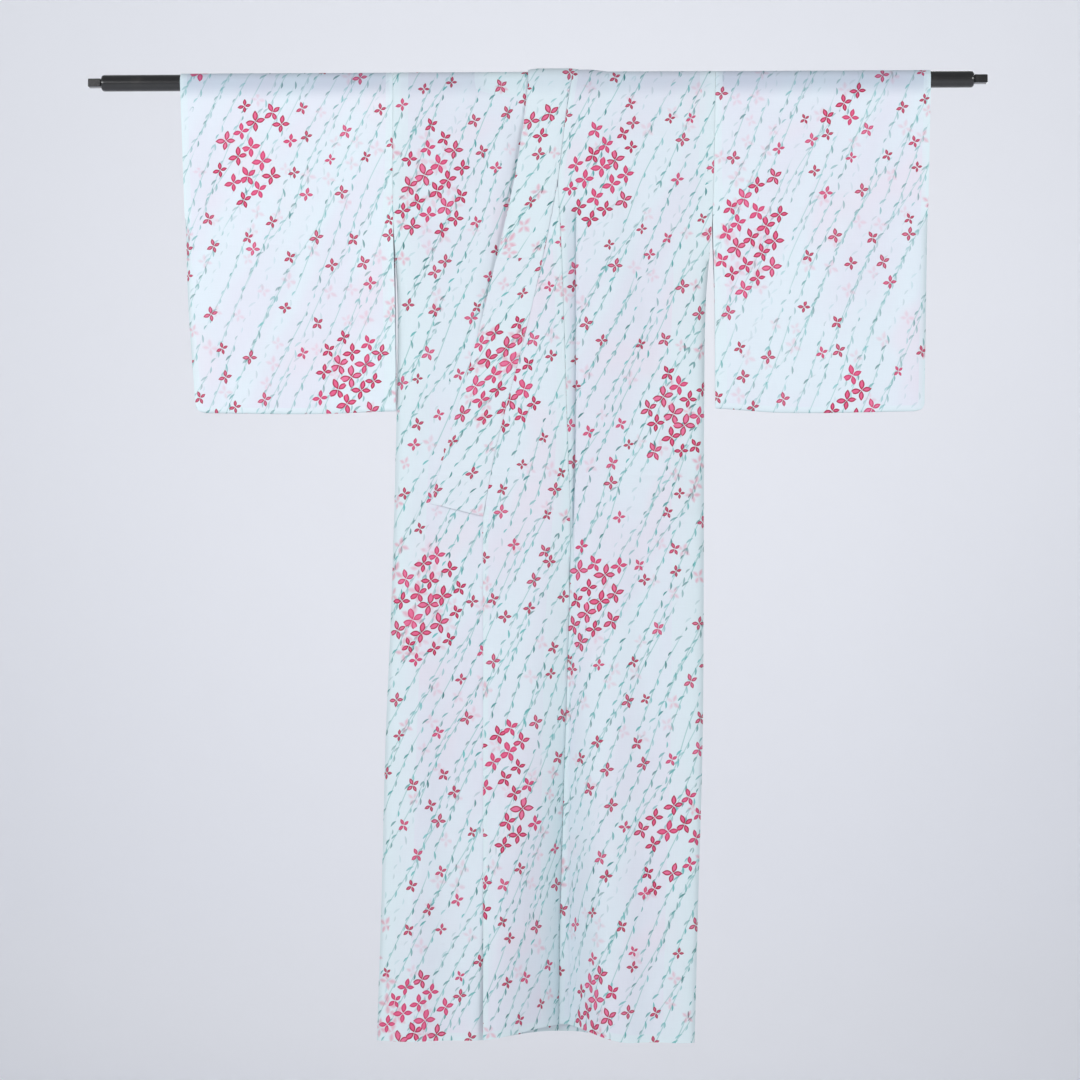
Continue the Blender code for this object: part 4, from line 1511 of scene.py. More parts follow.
        linen = self.kit.dyer.linen(name + "_linen", bouquets, -side.sense, seed)
        nodes = [f"{half}_{side.value}_{part}" for half in ("front", "back") for part in self.stretches]
        self.kit.fit(grid, name, linen, nodes, self.flat, ["rod"])


@dataclass
class Overlaps:
    """The tapered panels between the collar's end and the hem, the left one on top."""

    kit: Wardrobe
    columns: int = 27
    flat: Pair = (0.155, 1.460)
    flat_area: float = 0.185
    free_hem: float = 0.009
    # The seam's doubled band: the real allowance near the top, widened toward the hem as painted shade,
    # the teal tint of the valley's slope.
    seam_allowance_and_valley_tint: Pair = (0.014, 0.044)
    allowance_widens: Pair = (0.45, 1.00)
    # Painted shade on the left overlap's slope into the valley, beside its seam and growing toward the
    # hem.
    valley_shade: float = 0.36
    valley_shade_reach: float = 0.050
    valley_shade_fall: float = 1.5
    valley_shade_grows: Pair = (0.98, 1.34)
    seeds: Pair = (23.0, 31.0)
    stretches: tuple[str, ...] = ("waist", "skirt", "hem")
    bouquets: tuple[Bouquet, ...] = (
        Bouquet(0.115, 0.455, 0.040), Bouquet(0.085, 0.560, 0.036), Bouquet(0.155, 0.700, 0.022)
    )

    def build(self, side: Side) -> None:
        """Make one overlap panel.

        Args:
            side: The wearer's side, of which the left one lies on top.
        """
        shape = self.kit.shape
        drop = row_steps(shape.overlap_tip, shape.body_length, self.kit.cell)[:, None]
        seam = shape.overlap_seam.at(drop) - shape.gap / 2
        edge = shape.overlap_front(drop)
        if side is Side.RIGHT:
            seam, edge = shape.mirrored(seam, drop), shape.mirrored(edge, drop)
        x = mix(seam, edge, np.linspace(0.0, 1.0, self.columns)[None, :])
        drops = shape.hem_drop(side.layer, drop, x)
        loose = drop > shape.collar_end
        lift = np.zeros_like(x)
        if side is Side.LEFT:
            lift = shape.settled(shape.top_lift(x, drops), np.where(loose, x - edge, FAR), drops)
        faces = [shape.place(shape.depth, side.layer, x, drops, lift + skin) for skin in self.kit.skin]
        across = arc_lengths(faces[1], 1)
        seam_side = mix(*self.seam_allowance_and_valley_tint, ease(drop, *self.allowance_widens))
        free_side = np.where(loose, across[:, -1:] - across, FAR)
        doubled = np.minimum(free_side / self.free_hem, across / seam_side)
        doubled = np.minimum(doubled, (shape.body_length - drop) / self.kit.hem_allowance)
        grid = SheetGrid(*faces, across, drops + shape.roll_arc, doubled, -side.sense)
        if side is Side.LEFT:
            # Painted shade down the valley's slope beside the seam.
            shade = np.clip(1.0 - across / self.valley_shade_reach, 0.0, None) ** self.valley_shade_fall
            grid.painted_fold_shade = self.valley_shade * shade * ease(drop, *self.valley_shade_grows)
        name = f"overlap_{side.value}"
        seed = side.choose(*self.seeds)
        linen = self.kit.dyer.linen(name + "_linen", self.bouquets, -side.sense, seed)
        nodes = [f"{name}_{part}" for part in self.stretches]
        self.kit.fit(grid, name, linen, nodes, self.flat, [f"body_{side.value}"], area=self.flat_area)


@dataclass
class Collars:
    """The folded collar strip in its three stretches, and the over-collar on the left one."""

    kit: Wardrobe
    columns: int = 15
    tail_degrees: float = 42.0
    tail_rows: int = 20
    wall: float = 0.0021
    clearance: float = 0.0002
    thin_run: float = 0.016
    thin_share: float = 0.40
    rims: Pair = (0.32, 0.85)
    rim_opens: Pair = (-0.04, 0.03)
    rim_sharpness: int = 6
    slant_run: float = 0.120
    settle_slant: float = 0.4
    over_wall: float = 0.0012
    over_end: float = 0.305
    over_inset: float = 0.0008
    neck_steps: int = 49
    neck_stand: float = 0.018
    neck_end_stand: float = 0.010
    neck_lean: float = 0.004
    neck_margin: float = 0.001
    neck_start: float = 0.06
    doubled: Pair = (0.45, 0.80)
    seeds: Triple = (41.0, 47.0, 53.0)
    flat_widths: Pair = (0.080, 0.076)
    neck_flat: Pair = (0.073, 0.125)
    neck_area: float = 0.006
    bouquets: tuple[Bouquet, ...] = (
        Bouquet(0.050, 0.515, 0.052), Bouquet(0.030, 0.090, 0.020), Bouquet(0.085, 0.300, 0.020)
    )

    def _strip(
        self, layer: Layer, end: float, lift: float, wall: float, inset: float = 0.0,
        slant: float = 0.0, beneath: float = 0.0,
    ) -> SheetGrid:
        """A stretch of collar from its tail behind the rod down to its end.

        Args:
            layer: The front that it is sewn to.
            end: Drop of its end.
            lift: Distance off the inner face of that front's layer.
            wall: Thickness of the strip.
            inset: How much narrower it is on each side.
            slant: How much lower its end is at the sewn edge.
            beneath: Thickness of another strip that it lies on.

        Returns:
            The strip's grid.
        """
        shape = self.kit.shape
        tail = -shape.roll_arc - shape.roll * math.radians(self.tail_degrees)
        hanging = row_steps(0.0, end, self.kit.cell)
        drop = np.concatenate([np.linspace(tail, 0.0, self.tail_rows)[:-1], hanging])[:, None]
        hung = np.maximum(drop, 0.0)
        row_slant = slant * ease(drop, shape.collar_end - self.slant_run, shape.collar_end)
        free = shape.collar_free.at(hung)
        sewn = shape.collar_sewn.at(hung + row_slant)
        flare = ease(-drop, 0.0, shape.roll_arc)
        sewn = mix(sewn, shape.neck_half - self.neck_margin, flare)
        if layer is Layer.UNDER:
            free, sewn = shape.mirrored(free, hung), shape.mirrored(sewn, hung)
        sense = np.sign(sewn - free) * inset
        shares = np.linspace(0.0, 1.0, self.columns)[None, :]
        x = mix(free + sense, sewn - sense, shares)
        drops = drop + row_slant * shares
        opens = ease(drop - self.over_end, *self.rim_opens)
        rim = np.where(shares < 0.5, self.rims[0], mix(*self.rims, opens))
        round_edge = 1.0 - (1.0 - rim) * np.abs(2.0 * shares - 1.0) ** self.rim_sharpness
        to_end = end - drop
        thin = mix(self.thin_share, 1.0, ease(to_end, 0.0, self.thin_run))
        low = lift + beneath * round_edge
        if layer is Layer.TOP and inset == 0.0:
            from_edge = np.minimum(x - free, to_end + self.settle_slant * shares)
            low = shape.settled(low, from_edge, drops)
        inner = shape.place(shape.depth, layer, x, drops, low + self.clearance)
        outer = shape.place(shape.depth, layer, x, drops, low + wall * round_edge * thin)
        run = -1 if layer is Layer.UNDER else 1
        across = arc_lengths(outer, 1)
        return SheetGrid(inner, outer, across, drops + shape.roll_arc, np.full_like(x, UNDOUBLED), run)

    def build_fronts(self) -> None:
        """Make both front stretches and the over-collar."""
        shape = self.kit.shape
        dye = self.kit.dyer.linen
        linen = dye("collar_linen", self.bouquets, 1, self.seeds[0], all_double=self.doubled[0])
        over = dye("over_collar_linen", self.bouquets, 1, self.seeds[1], all_double=self.doubled[1])
        flat = (self.flat_widths[0], shape.collar_end + shape.roll_arc)
        for side in (Side.LEFT, Side.RIGHT):
            lift = side.choose(shape.top_lift_height, 0.0)
            grid = self._strip(side.layer, shape.collar_end, lift, self.wall, slant=shape.collar_slant)
            name = f"collar_{side.value}"
            nodes = [name + "_upper", name + "_lower"]
            self.kit.fit(grid, name, linen, nodes, flat, [f"body_{side.value}", "rod"])
        grid = self._strip(
            Layer.TOP, self.over_end, shape.top_lift_height + self.clearance, self.over_wall,
            inset=self.over_inset, beneath=self.wall,
        )
        flat = (self.flat_widths[1], self.over_end + shape.roll_arc)
        self.kit.fit(grid, "collar_over", over, ["over_collar"], flat, ["collar_left"])

    def build_neck(self) -> None:
        """Make the stretch that stands round the back of the neck."""
        shape = self.kit.shape
        turn = np.linspace(0.0, math.pi, self.neck_steps)[:, None]
        x = shape.neck_half * np.cos(turn) * (1.0 - shape.gap / shape.neck_half)
        drop = shape.neck_drop * np.sin(turn)
        y = np.where(drop <= 0.0, shape.roll, shape.depth(Layer.BACK, x, np.maximum(drop, 0.0)))
        run = np.stack([np.gradient(x, axis=0), np.gradient(y, axis=0)], axis=-1)
        run /= np.linalg.norm(run, axis=-1, keepdims=True)
        shares = np.linspace(0.0, 1.0, self.columns)[None, :]
        stand = mix(self.neck_end_stand, self.neck_stand, drop / shape.neck_drop)
        z = mix(shape.gap - drop, stand, shares)
        wide = x + shape.garment_shift + np.zeros_like(z)
        deep = y - self.neck_lean * np.sin(turn) * shares ** 2
        outer = np.stack([wide, deep, z], axis=-1)
        inner_y = np.maximum(deep + run[:, :, 0] * self.wall, shape.roll)
        inner = np.stack([wide - run[:, :, 1] * self.wall, inner_y, z], axis=-1)
        along = arc_lengths(outer, 0) + self.neck_start
        grid = SheetGrid(inner, outer, arc_lengths(outer, 1), along, np.full_like(z, UNDOUBLED))
        linen = self.kit.dyer.linen(
            "neck_linen", self.bouquets, 1, self.seeds[2], all_double=self.doubled[1]
        )
        self.kit.fit(
            grid, "collar_round_neck", linen, ["collar_neck"], self.neck_flat,
            ["body_left", "body_right"], area=self.neck_area,
        )


@dataclass
class SleeveForm:
    """The shape of one sleeve, by span from the garment's middle and drop.

    Stands, wrists and feet are given for the left sleeve and then for the right one.
    """

    shape: HangingCloth
    side: Side
    narrowing: float = 0.55
    wrist_opening: float = 0.215
    wrist_close: float = 0.045
    foot_round: float = 0.030
    edge_round: float = 0.035
    corner: float = 0.015
    armhole_blend: float = 0.080
    guide_drops: tuple[float, ...] = (0.0, 0.229, 0.380, 0.570)
    stands: tuple = ((0.0, 0.0, 0.0146, 0.0188), (0.0, 0.0, 0.0037, 0.0007))
    wrists: tuple = ((0.6352, 0.6300, 0.6270, 0.6235), (0.6355, 0.6260, 0.6203, 0.6050))
    feet: tuple[Guide, Guide] = (
        Guide((0.0, 0.4, 1.0), (0.5575, 0.5655, 0.5625)),
        Guide((0.0, 0.5, 1.0), (0.5620, 0.5670, 0.5650)),
    )
    armhole: Guide = field(init=False)
    stand: Guide = field(init=False)
    wrist: Guide = field(init=False)
    foot: Guide = field(init=False)

    def __post_init__(self) -> None:
        """Choose this side's edges."""
        low = self.shape.side_low
        low = Guide(low.drops, tuple(-value for value in low.values))
        self.armhole = self.side.choose(self.shape.side_high, low)
        self.stand = Guide(self.guide_drops, self.side.choose(*self.stands))
        self.wrist = Guide(self.guide_drops, self.side.choose(*self.wrists))
        self.foot = self.side.choose(*self.feet)

    def body_edge(self, drop: Array) -> Array:
        """Inner edge of the sleeve."""
        return self.armhole.at(drop) + self.shape.gap + np.maximum(self.stand.at(drop), 0.0)

    def wrist_edge(self, drop: Array) -> Array:
        """Outer edge of the sleeve, rounded at its lower corner."""
        away = np.clip(drop - (self.foot.values[-1] - self.corner), 0.0, self.corner)
        return self.wrist.at(drop) - self.corner + np.sqrt(self.corner ** 2 - away ** 2)

    def span(self, share: Array, drop: Array) -> Array:
        """Place across the sleeve at a share of its width."""
        return mix(self.body_edge(drop), self.wrist_edge(drop), share)

    def half(self, span: Array, drop: Array) -> Array:
        """Half the depth between the sleeve's two sheets.

        Args:
            span: Distances from the garment's middle.
            drop: Drops of the places.

        Returns:
            Half the depth at each place.
        """
        shape = self.shape
        from_body = span - self.body_edge(drop)
        share = from_body / (self.wrist.at(drop) - self.body_edge(drop))
        foot_drop = self.foot.at(share)
        depth = shape.roll * (1.0 - self.narrowing * ease(drop / foot_drop, 0.0, 1.0))
        joined = 1.0 - ease(from_body, 0.0, self.armhole_blend)
        joined = joined * (1.0 - ease(drop, shape.sleeve_seam, shape.side_seam_top))
        depth = mix(depth, shape.roll, joined)
        low = rounded(np.maximum(foot_drop - drop, 0.0), self.foot_round)
        depth = mix(shape.meet, depth, low)
        closing = ease(drop, self.wrist_opening, self.wrist_opening + self.wrist_close)
        far = rounded(np.maximum(self.wrist_edge(drop) - span, 0.0), self.edge_round)
        return mix(depth, mix(shape.meet, depth, far), closing)

    def depth(self, layer: Layer, x: Array, drop: Array) -> Array:
        """y of the sleeve's inner face.

        Args:
            layer: The front or the back.
            x: Places across, from the garment's middle.
            drop: Drops of the places.

        Returns:
            y at each place.
        """
        span = np.abs(x)
        rest = ease(span - self.body_edge(drop), 0.0, self.shape.edge_rest)
        rest = rest * ease(self.wrist_edge(drop) - span, 0.0, self.shape.edge_rest)
        fold = sum(f.depth(span, drop) for f in SLEEVE_FOLDS)
        fold = fold + sum(c.depth(drop) for c in SLEEVE_CREASES)
        return layer.facing * self.half(span, drop) + fold * rest

    def place(self, layer: Layer, span: Array, drop: Array, lift: Array) -> Array:
        """Points of the sleeve."""
        return self.shape.place(self.depth, layer, self.side.sense * span, drop, lift)


@dataclass
class Sleeves:
    """The two sleeves, each one width of cloth folded over the rod."""

    kit: Wardrobe
    columns: int = 53
    foot_rows: int = 10
    foot_margin: float = 0.010
    foot_bunching: float = 0.6
    sunk: float = 0.0002
    body_allowances: Pair = (0.012, 0.020)
    allowance_widens: Pair = (0.10, 0.30)
    wrist_hem: float = 0.012
    foot_hem: float = 0.010
    rod_shade: float = 0.80
    faint: float = 0.78
    shade: float = 1.0
    flat: Pair = (0.363, 1.160)
    seeds: Pair = (61.0, 67.0)
    left_bouquets: tuple[Bouquet, ...] = (
        Bouquet(0.070, 0.290, 0.058), Bouquet(0.215, 0.045, 0.036), Bouquet(0.225, 0.560, 0.040)
    )
    right_bouquets: tuple[Bouquet, ...] = (
        Bouquet(0.235, 0.145, 0.056), Bouquet(0.080, 0.545, 0.060), Bouquet(0.330, 0.010, 0.020)
    )

    def _drops(self, form: SleeveForm) -> tuple[Array, Array]:
        """Rows from the back's foot over the rod to the front's.

        Args:
            form: The sleeve's shape.

        Returns:
            Their drops by column, and which of them lie on the back.
        """
        foot_drops = form.foot.at(np.linspace(0.0, 1.0, self.columns))
        level = min(form.foot.values) - form.foot_round - self.foot_margin
        hung = row_steps(0.0, level, self.kit.cell)
        near_foot = 1.0 - np.linspace(0.0, 1.0, self.foot_rows)[1:] ** self.foot_bunching
        low_rows = mix(foot_drops[None, :], level, near_foot[:, None])
        hung = np.repeat(hung[:, None], self.columns, axis=1)
        return self.kit.over_rod(np.concatenate([hung, low_rows]))

    def build(self, form: SleeveForm) -> None:
        """Make one sleeve.

        Args:
            form: The sleeve's shape.
        """
        side = form.side
        drops, behind = self._drops(form)
        hanging = np.maximum(drops, 0.0)
        shares = np.linspace(0.0, 1.0, self.columns)[None, :]
        span = form.span(shares, hanging)
        faces = []
        for skin in self.kit.skin:
            front = form.place(Layer.TOP, span, drops, skin - self.sunk)
            back = form.place(Layer.BACK, span, drops, skin - self.sunk)
            faces.append(np.where(behind[:, :, None], back, front))
        across = arc_lengths(faces[1], 1)
        along = np.where(behind, -1.0, 1.0) * (drops + self.kit.shape.roll_arc)
        body_side = mix(*self.body_allowances, ease(hanging, *self.allowance_widens))
        doubled = np.minimum(across / body_side, (across[:, -1:] - across) / self.wrist_hem)
        doubled = np.minimum(doubled, (form.foot.at(shares) - drops) / self.foot_hem)
        name = f"sleeve_{side.value}"
        linen = self.kit.dyer.linen(
            name + "_linen", side.choose(self.left_bouquets, self.right_bouquets), side.sense,
            side.choose(*self.seeds), rod_shade=self.rod_shade, faint=self.faint, shade=self.shade,
        )
        grid = SheetGrid(*faces, across, along, doubled, side.sense)
        self.kit.fit(grid, name, linen, [name + "_front", name + "_back"], self.flat, ["rod"])


@dataclass(frozen=True)
class Stitch:
    """One kind of stitch: distance between two, length of one and its largest turn off the path."""

    pitch: float
    length: float
    wander: float


@dataclass
class Needle:
    """Sewing thread: small stitches laid along seams, hems and allowances by Geometry Nodes."""

    kit: Wardrobe
    thread: float = 0.00020
    thread_sides: int = 5
    seed: int = 7
    colour: tuple = (0.80, 0.86, 0.90, 1.0)
    dullness: float = 0.80
    twist_scale: float = 2600.0
    roughness: Pair = (0.55, 0.75)
    running: Stitch = Stitch(0.0055, 0.0020, 0.10)
    tack: Stitch = Stitch(0.0230, 0.0012, 0.35)
    blind: Stitch = Stitch(0.0120, 0.0011, 0.30)
    above: float = 0.0013
    above_sleeve: float = 0.0011
    above_over_collar: float = 0.0055
    above_collar: float = 0.0053
    beside_side: float = 0.0016
    beside_seam: float = 0.0014
    collar_rows: Triple = (0.300, 0.308, 0.700)
    hem_end: float = 0.012
    tack_rows: tuple[Triple, ...] = ((0.026, 0.010, 0.220), (0.058, 0.390, 1.600))
    overlap_hem: float = 0.0085
    overlap_hem_start: float = 0.030
    hem_row: float = 0.0115
    hem_margin: float = 0.004
    hem_points: int = 70
    wrist_hem: float = 0.0105
    wrist_past: float = 0.020
    foot_hem: float = 0.011
    foot_margin: float = 0.02
    foot_points: int = 50

    def _tree(self) -> Tree:
        """Build the tree that lays short threads along every edge path of a mesh.

        Returns:
            The Geometry Nodes tree.
        """
        tree = bpy.data.node_groups.new("stitches", "GeometryNodeTree")
        g = Graph(tree)
        g.open("INPUT", "NodeSocketGeometry", ("Paths",))
        g.open("INPUT", "NodeSocketFloat", ("Pitch", "Length", "Thread", "Wander"))
        g.open("INPUT", "NodeSocketMaterial", ("Finish",))
        g.open("OUTPUT", "NodeSocketGeometry", ("Stitches",))
        given = g.node("NodeGroupInput").outputs
        curves = g.fed("GeometryNodeMeshToCurve", {"Mesh": given["Paths"]}).outputs["Curve"]
        points = g.fed(
            "GeometryNodeResampleCurve", {"Curve": curves, "Length": given["Pitch"]}, mode="LENGTH"
        ).outputs["Curve"]
        sizes = {"Vertices": self.thread_sides, "Radius": given["Thread"], "Depth": given["Length"]}
        thread = g.fed("GeometryNodeMeshCylinder", sizes).outputs["Mesh"]
        tangent = g.node("GeometryNodeInputTangent").outputs[0]
        along = g.fed("FunctionNodeAlignRotationToVector", {"Vector": tangent}, axis="Z").outputs[0]
        most, least = given["Wander"], g.math("MULTIPLY", given["Wander"], -1.0)
        limits = {"Max": g.join(most, most, most), "Min": g.join(least, least, least), "Seed": self.seed}
        wander = g.fed("FunctionNodeRandomValue", limits, data_type="FLOAT_VECTOR").outputs["Value"]
        turns = {"Rotation": along, "Rotate By": wander}
        turned = g.fed("FunctionNodeRotateRotation", turns, rotation_space="LOCAL").outputs[0]
        copies = {"Points": points, "Instance": thread, "Rotation": turned}
        copies = g.fed("GeometryNodeInstanceOnPoints", copies).outputs["Instances"]
        solid = g.fed("GeometryNodeRealizeInstances", {"Geometry": copies}).outputs["Geometry"]
        finish = g.fed("GeometryNodeSetMaterial", {"Geometry": solid, "Material": given["Finish"]})
        g.feed(g.node("NodeGroupOutput").inputs["Stitches"], finish.outputs["Geometry"])
        return tree

    def _thread_finish(self) -> Material:
        """Twisted thread, a shade duller than the cloth.

        Returns:
            The material.
        """
        material, g, shader = new_finish("sewing_thread")
        place = g.node("ShaderNodeTexCoord").outputs["Object"]
        twist = g.noise(g.scaled(place, self.twist_scale), 1.0, 1.0)
        dull = tuple(value * self.dullness for value in self.colour[:3]) + (1.0,)
        colour = g.paint(twist, dull, self.colour)
        g.set(shader, {"Base Color": colour, "Roughness": g.between(*self.roughness, twist)})
        return material

    def sew(self, name: str, paths: Sequence[Array], stitch: Stitch) -> None:
        """Lay stitches along paths and keep them as a plain mesh.

        Args:
            name: Name of the piece.
            paths: Points of each path, in world metres.
            stitch: The kind of stitch.
        """
        mesh = bpy.data.meshes.new(name + "_paths")
        starts = np.cumsum([0] + [len(path) for path in paths])
        edges = [
            (start + step, start + step + 1)
            for start, path in zip(starts, paths) for step in range(len(path) - 1)
        ]
        mesh.from_pydata(np.concatenate(paths).tolist(), edges, [])
        guide = show(name + "_paths", mesh)
        modifier = guide.modifiers.new("stitches", "NODES")
        modifier.node_group = self._tree()
        values = {
            "Pitch": stitch.pitch, "Length": stitch.length, "Thread": self.thread,
            "Wander": stitch.wander, "Finish": self._thread_finish(),
        }
        for socket in modifier.node_group.interface.items_tree:
            if socket.in_out == "INPUT" and socket.name in values:
                modifier[socket.identifier] = values[socket.name]
        view = bpy.context.evaluated_depsgraph_get()
        made = bpy.data.meshes.new_from_object(guide.evaluated_get(view))
        bpy.data.objects.remove(guide, do_unlink=True)
        item = show(name, made)
        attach(item, self.kit.body)
        log.info("%s: %d faces on %d paths", name, len(made.polygons), len(paths))

    def on_body(
        self, layer: Layer, edge: Callable, inset: float, start: float, end: float,
        above: float | None = None,
    ) -> Array:
        """A path down the body beside an edge.

        Args:
            layer: The layer of cloth that it is sewn on.
            edge: x of the edge by drop.
            inset: Distance from the edge, toward the viewer's right where above zero.
            start: First drop.
            end: Last drop.
            above: Height over the inner face, where it isn't the cloth's own.

        Returns:
            Points of the path.
        """
        shape = self.kit.shape
        drop = row_steps(start, end, self.kit.cell)
        hung = np.maximum(drop, 0.0)
        x = edge(hung) + inset
        lift = self.above if above is None else above
        if layer is Layer.TOP and above is None:
            lift = lift + shape.top_lift(x, hung)
        return shape.place(shape.depth, layer, x, drop, lift)

    def _seams(self) -> list[Array]:
        """Paths of the seams between pieces.

        Returns:
            Points of each path.
        """
        shape = self.kit.shape
        hem = shape.body_length - self.hem_end
        top = -shape.roll_arc
        high, low = shape.side_high.at, shape.side_low.at
        seam, sewn = shape.overlap_seam.at, shape.collar_sewn.at
        side, beside = self.beside_side, self.beside_seam
        over_end, start, end = self.collar_rows

        def under_seam(drop: Array) -> Array:
            """Seam of the overlap underneath."""
            return shape.mirrored(seam(drop), drop)

        def middle(drop: Array) -> Array:
            """Seam down the middle of the back."""
            return (high(drop) + low(drop)) / 2 * ease(drop, shape.neck_drop, shape.body_length)

        paths = [
            self.on_body(Layer.TOP, sewn, -side, top, over_end, self.above_over_collar),
            self.on_body(Layer.TOP, sewn, -side, start, end, self.above_collar),
            self.on_body(Layer.TOP, seam, -beside, shape.overlap_tip, hem),
            self.on_body(Layer.UNDER, under_seam, beside, shape.overlap_tip, hem),
            self.on_body(Layer.BACK, middle, beside, shape.neck_drop + self.hem_margin, hem),
        ]
        ends = ((top, shape.sleeve_seam), (shape.side_seam_top, hem))
        for front, edge, inset in ((Layer.TOP, high, -side), (Layer.UNDER, low, side)):
            for layer in (front, Layer.BACK):
                paths += [self.on_body(layer, edge, inset, first, last) for first, last in ends]
        return paths

    def _tacks(self) -> list[Array]:
        """Paths of the tacks that hold the wide allowances beside the side seams.

        Returns:
            Points of each path.
        """
        high, low = self.kit.shape.side_high.at, self.kit.shape.side_low.at
        return [
            self.on_body(layer, edge, sense * width, start, end)
            for width, start, end in self.tack_rows
            for layer, edge, sense in (
                (Layer.TOP, high, -1), (Layer.UNDER, low, 1), (Layer.BACK, high, -1),
                (Layer.BACK, low, 1),
            )
        ]

    def _body_hem(self, layer: Layer) -> Array:
        """Path of the blind stitches along one layer's hem.

        Args:
            layer: The layer of cloth.

        Returns:
            Points of the path.
        """
        shape = self.kit.shape
        row = shape.body_length - self.hem_row
        free = shape.overlap_free.at(row)
        first = free if layer is Layer.TOP else shape.side_low.at(row)
        last = shape.mirrored(free, row) if layer is Layer.UNDER else shape.side_high.at(row)
        x = np.linspace(first + self.hem_margin, last - self.hem_margin, self.hem_points)
        drop = shape.hem_drop(layer, np.full_like(x, row), x)
        lift = self.above + (shape.top_lift(x, drop) if layer is Layer.TOP else 0.0)
        return shape.place(shape.depth, layer, x, drop, lift)

    def _hems(self, sleeves: Sequence[SleeveForm]) -> list[Array]:
        """Paths of the blind stitches along hems, the top overlap's free edge and the wrists.

        Args:
            sleeves: The sleeves' shapes.

        Returns:
            Points of each path.
        """
        shape = self.kit.shape
        start, end = shape.collar_end + self.overlap_hem_start, shape.body_length - self.hem_end
        paths = [self.on_body(Layer.TOP, shape.overlap_free.at, self.overlap_hem, start, end)]
        paths += [self._body_hem(layer) for layer in Layer]
        share = np.linspace(self.foot_margin, 1.0 - self.foot_margin, self.foot_points)
        for form in sleeves:
            drop = row_steps(0.0, form.wrist_opening + self.wrist_past, self.kit.cell)
            span = form.wrist_edge(drop) - self.wrist_hem
            foot_drop = form.foot.at(share) - self.foot_hem
            foot_span = form.span(share, foot_drop)
            for layer in (Layer.TOP, Layer.BACK):
                paths.append(form.place(layer, span, drop, self.above_sleeve))
                paths.append(form.place(layer, foot_span, foot_drop, self.above_sleeve))
        return paths

    def sew_all(self, sleeves: Sequence[SleeveForm]) -> None:
        """Sew the seams, the allowances' tacks and the hems.

        Args:
            sleeves: The sleeves' shapes.
        """
        self.sew("seam_stitches", self._seams(), self.running)
        self.sew("allowance_tacks", self._tacks(), self.tack)
        self.sew("hem_stitches", self._hems(sleeves), self.blind)


@dataclass
class HangingRod:
    """The lacquered bar and its square pegs, which keep their solids' shape."""

    nodes: tuple[str, ...] = ("rod", "peg_left", "peg_right")

    def dress(self) -> None:
        """Give the solids their lacquer."""
        lacquer = Lacquer().material()
        for name in self.nodes:
            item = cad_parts[name]
            item.data.materials.clear()
            item.data.materials.append(lacquer)
            log.info("%s: lacquered", name)


@dataclass(frozen=True)
class Lamp:
    """One soft rectangular lamp, turned toward a target."""

    name: str
    place: Triple
    target: Triple
    size: Pair
    power: float

    def hang(self) -> None:
        """Put the lamp into the scene, unseen by the camera."""
        light = bpy.data.lights.new(self.name, "AREA")
        light.shape = "RECTANGLE"
        light.size, light.size_y = self.size
        light.energy = self.power
        item = show(self.name, light)
        item.location = self.place
        aim = Vector(self.target) - Vector(self.place)
        item.rotation_euler = aim.to_track_quat("-Z", "Y").to_euler()
        item.visible_camera = False


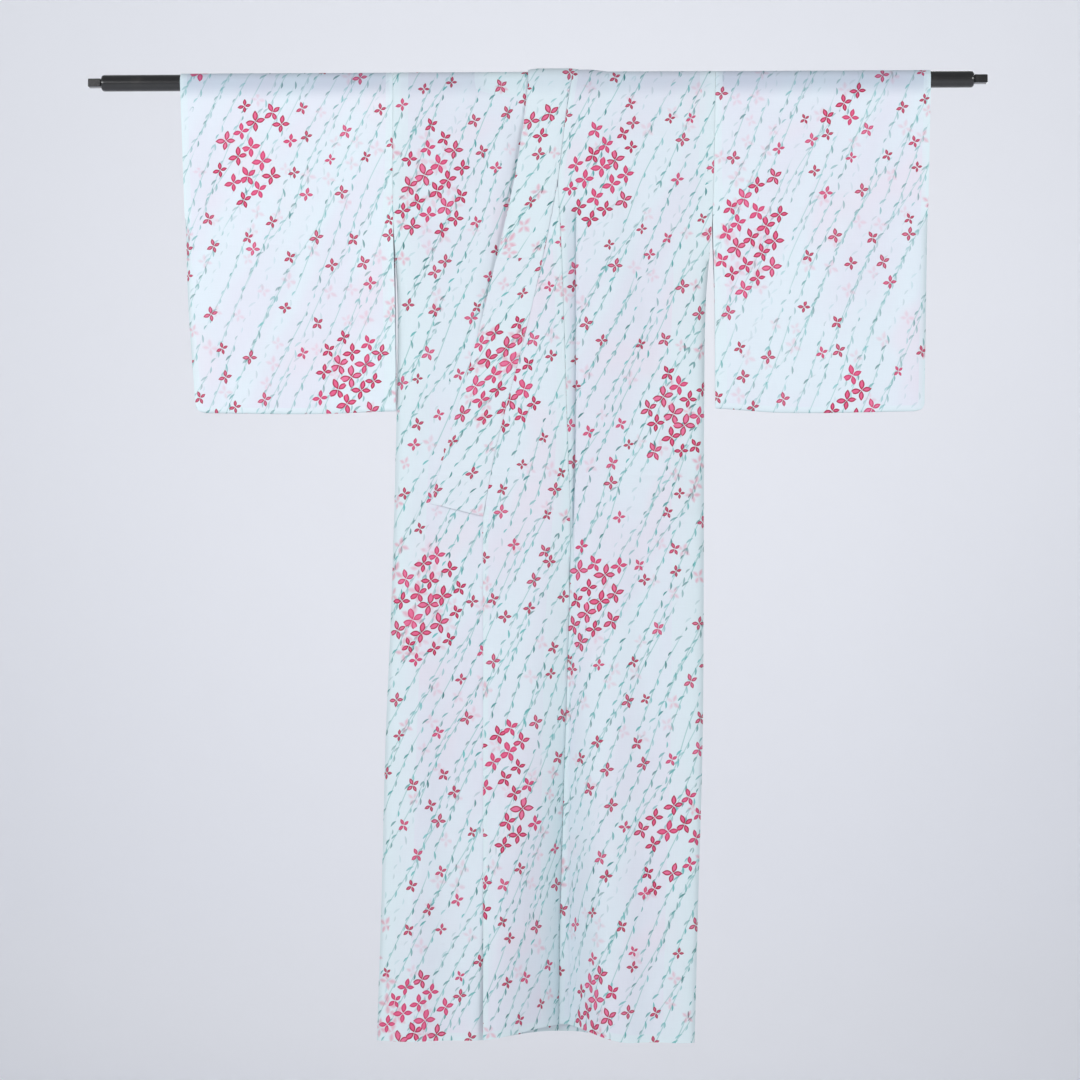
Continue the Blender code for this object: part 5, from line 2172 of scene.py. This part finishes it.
@dataclass
class Studio:
    """Pale floor and wall, soft light and the camera."""

    floor: float = -2.46
    wall: float = 4.70
    cove: float = 0.60
    cove_step: int = 6
    half_width: float = 14.0
    front: float = -14.0
    height: float = 5.0
    backdrop_colour: tuple = (0.84, 0.85, 0.89, 1.0)
    backdrop_roughness: float = 0.9
    backdrop_shine: float = 0.1
    glow_colour: tuple = (0.23, 0.235, 0.245, 1.0)
    glow_reach: Pair = (3.6, 8.0)
    world_colour: tuple = (0.92, 0.95, 1.0, 1.0)
    world_strength: float = 0.355
    world_shown: float = 0.80
    lamps: tuple[Lamp, ...] = (
        Lamp("key", (-2.5, -3.2, 0.4), (-0.1, 0.0, -0.35), (1.6, 1.2), 74.0),
        Lamp("fill", (2.7, -3.2, 0.2), (0.1, 0.0, -0.35), (1.8, 1.6), 51.0),
        Lamp("rear", (1.2, 3.2, 1.0), (0.0, 0.0, -0.6), (2.0, 1.6), 30.0),
        Lamp("wall", (0.0, 0.6, 0.7), (0.0, 4.7, 0.5), (5.0, 1.2), 72.0),
    )
    camera_place: tuple = (0.130, -4.0, -0.953)
    yaw: float = -0.03008
    tilt: float = 0.04326
    roll: float = 0.00235
    focal_pixels: float = 2378.5
    sensor: float = 36.0
    far_clip: float = 50.0

    def _paper(self) -> Material:
        """Matt paper that glows faintly away from the lamps.

        Returns:
            The material.
        """
        material, g, shader = new_finish("backdrop_paper")
        ends = {0: g.node("ShaderNodeTexCoord").outputs["Object"], 1: (0.0, self.wall, self.floor)}
        away = g.fed("ShaderNodeVectorMath", ends, operation="DISTANCE").outputs["Value"]
        glow = g.paint(g.step(away, *self.glow_reach), (0.0, 0.0, 0.0, 1.0), self.glow_colour)
        g.set(shader, {
            "Base Color": self.backdrop_colour, "Roughness": self.backdrop_roughness,
            "Specular IOR Level": self.backdrop_shine, "Emission Color": glow,
            "Emission Strength": 1.0,
        })
        return material

    def build_backdrop(self) -> None:
        """Set up a floor that curves up into a wall."""
        turns = [math.radians(angle) for angle in range(0, 91, self.cove_step)]
        base, level = self.wall - self.cove, self.floor + self.cove
        curve = [
            (base + self.cove * math.sin(turn), level - self.cove * math.cos(turn)) for turn in turns
        ]
        profile = [(self.front, self.floor), *curve, (self.wall, self.height)]
        points = [(side, y, z) for y, z in profile for side in (-self.half_width, self.half_width)]
        faces = [(row * 2, row * 2 + 1, row * 2 + 3, row * 2 + 2) for row in range(len(profile) - 1)]
        mesh = bpy.data.meshes.new("backdrop")
        mesh.from_pydata(points, [], faces)
        mesh.shade_smooth()
        mesh.materials.append(self._paper())
        show("backdrop", mesh)

    def light(self) -> None:
        """Hang the lamps and set up a pale world."""
        for lamp in self.lamps:
            lamp.hang()
        world = bpy.data.worlds.new("pale_room")
        world.use_nodes = True
        background = world.node_tree.nodes["Background"]
        g = Graph(world.node_tree)
        g.feed(background.inputs["Color"], self.world_colour)
        seen = g.node("ShaderNodeLightPath").outputs["Is Camera Ray"]
        g.feed(background.inputs["Strength"], g.between(self.world_strength, self.world_shown, seen))
        bpy.context.scene.world = world
        bpy.context.scene.view_settings.view_transform = "Standard"

    def aim_camera(self) -> None:
        """Set up the camera at the photo's place and angle."""
        level = Vector((math.cos(self.yaw), -math.sin(self.yaw), 0.0))
        forward = Vector((
            math.sin(self.yaw) * math.cos(self.tilt), math.cos(self.yaw) * math.cos(self.tilt),
            math.sin(self.tilt),
        ))
        up = level.cross(forward)
        right = level * math.cos(self.roll) + up * math.sin(self.roll)
        turn = Matrix((right, right.cross(forward), -forward)).transposed()
        data = bpy.data.cameras.new("camera")
        data.sensor_width = self.sensor
        data.lens = self.focal_pixels * self.sensor / PHOTO_SIDE
        data.clip_end = self.far_clip
        item = show("camera", data)
        item.matrix_world = Matrix.Translation(self.camera_place) @ turn.to_4x4()
        bpy.context.scene.camera = item

    def build(self) -> None:
        """Set up the whole studio."""
        self.build_backdrop()
        self.light()
        self.aim_camera()
        log.info("studio: set up")


def main() -> None:
    """Build every piece round the frame."""
    Studio().build()
    HangingRod().dress()
    kit = Wardrobe(HangingCloth(), Dyer())
    widths = BodyWidths(kit)
    overlaps = Overlaps(kit)
    sleeves = Sleeves(kit)
    forms = [SleeveForm(kit.shape, side) for side in Side]
    for form in forms:
        widths.build(form.side)
        overlaps.build(form.side)
        sleeves.build(form)
    collars = Collars(kit)
    collars.build_fronts()
    collars.build_neck()
    Needle(kit).sew_all(forms)


if __name__ == "__main__":
    logging.basicConfig(level=logging.INFO, format="%(name)s %(message)s")
    main()
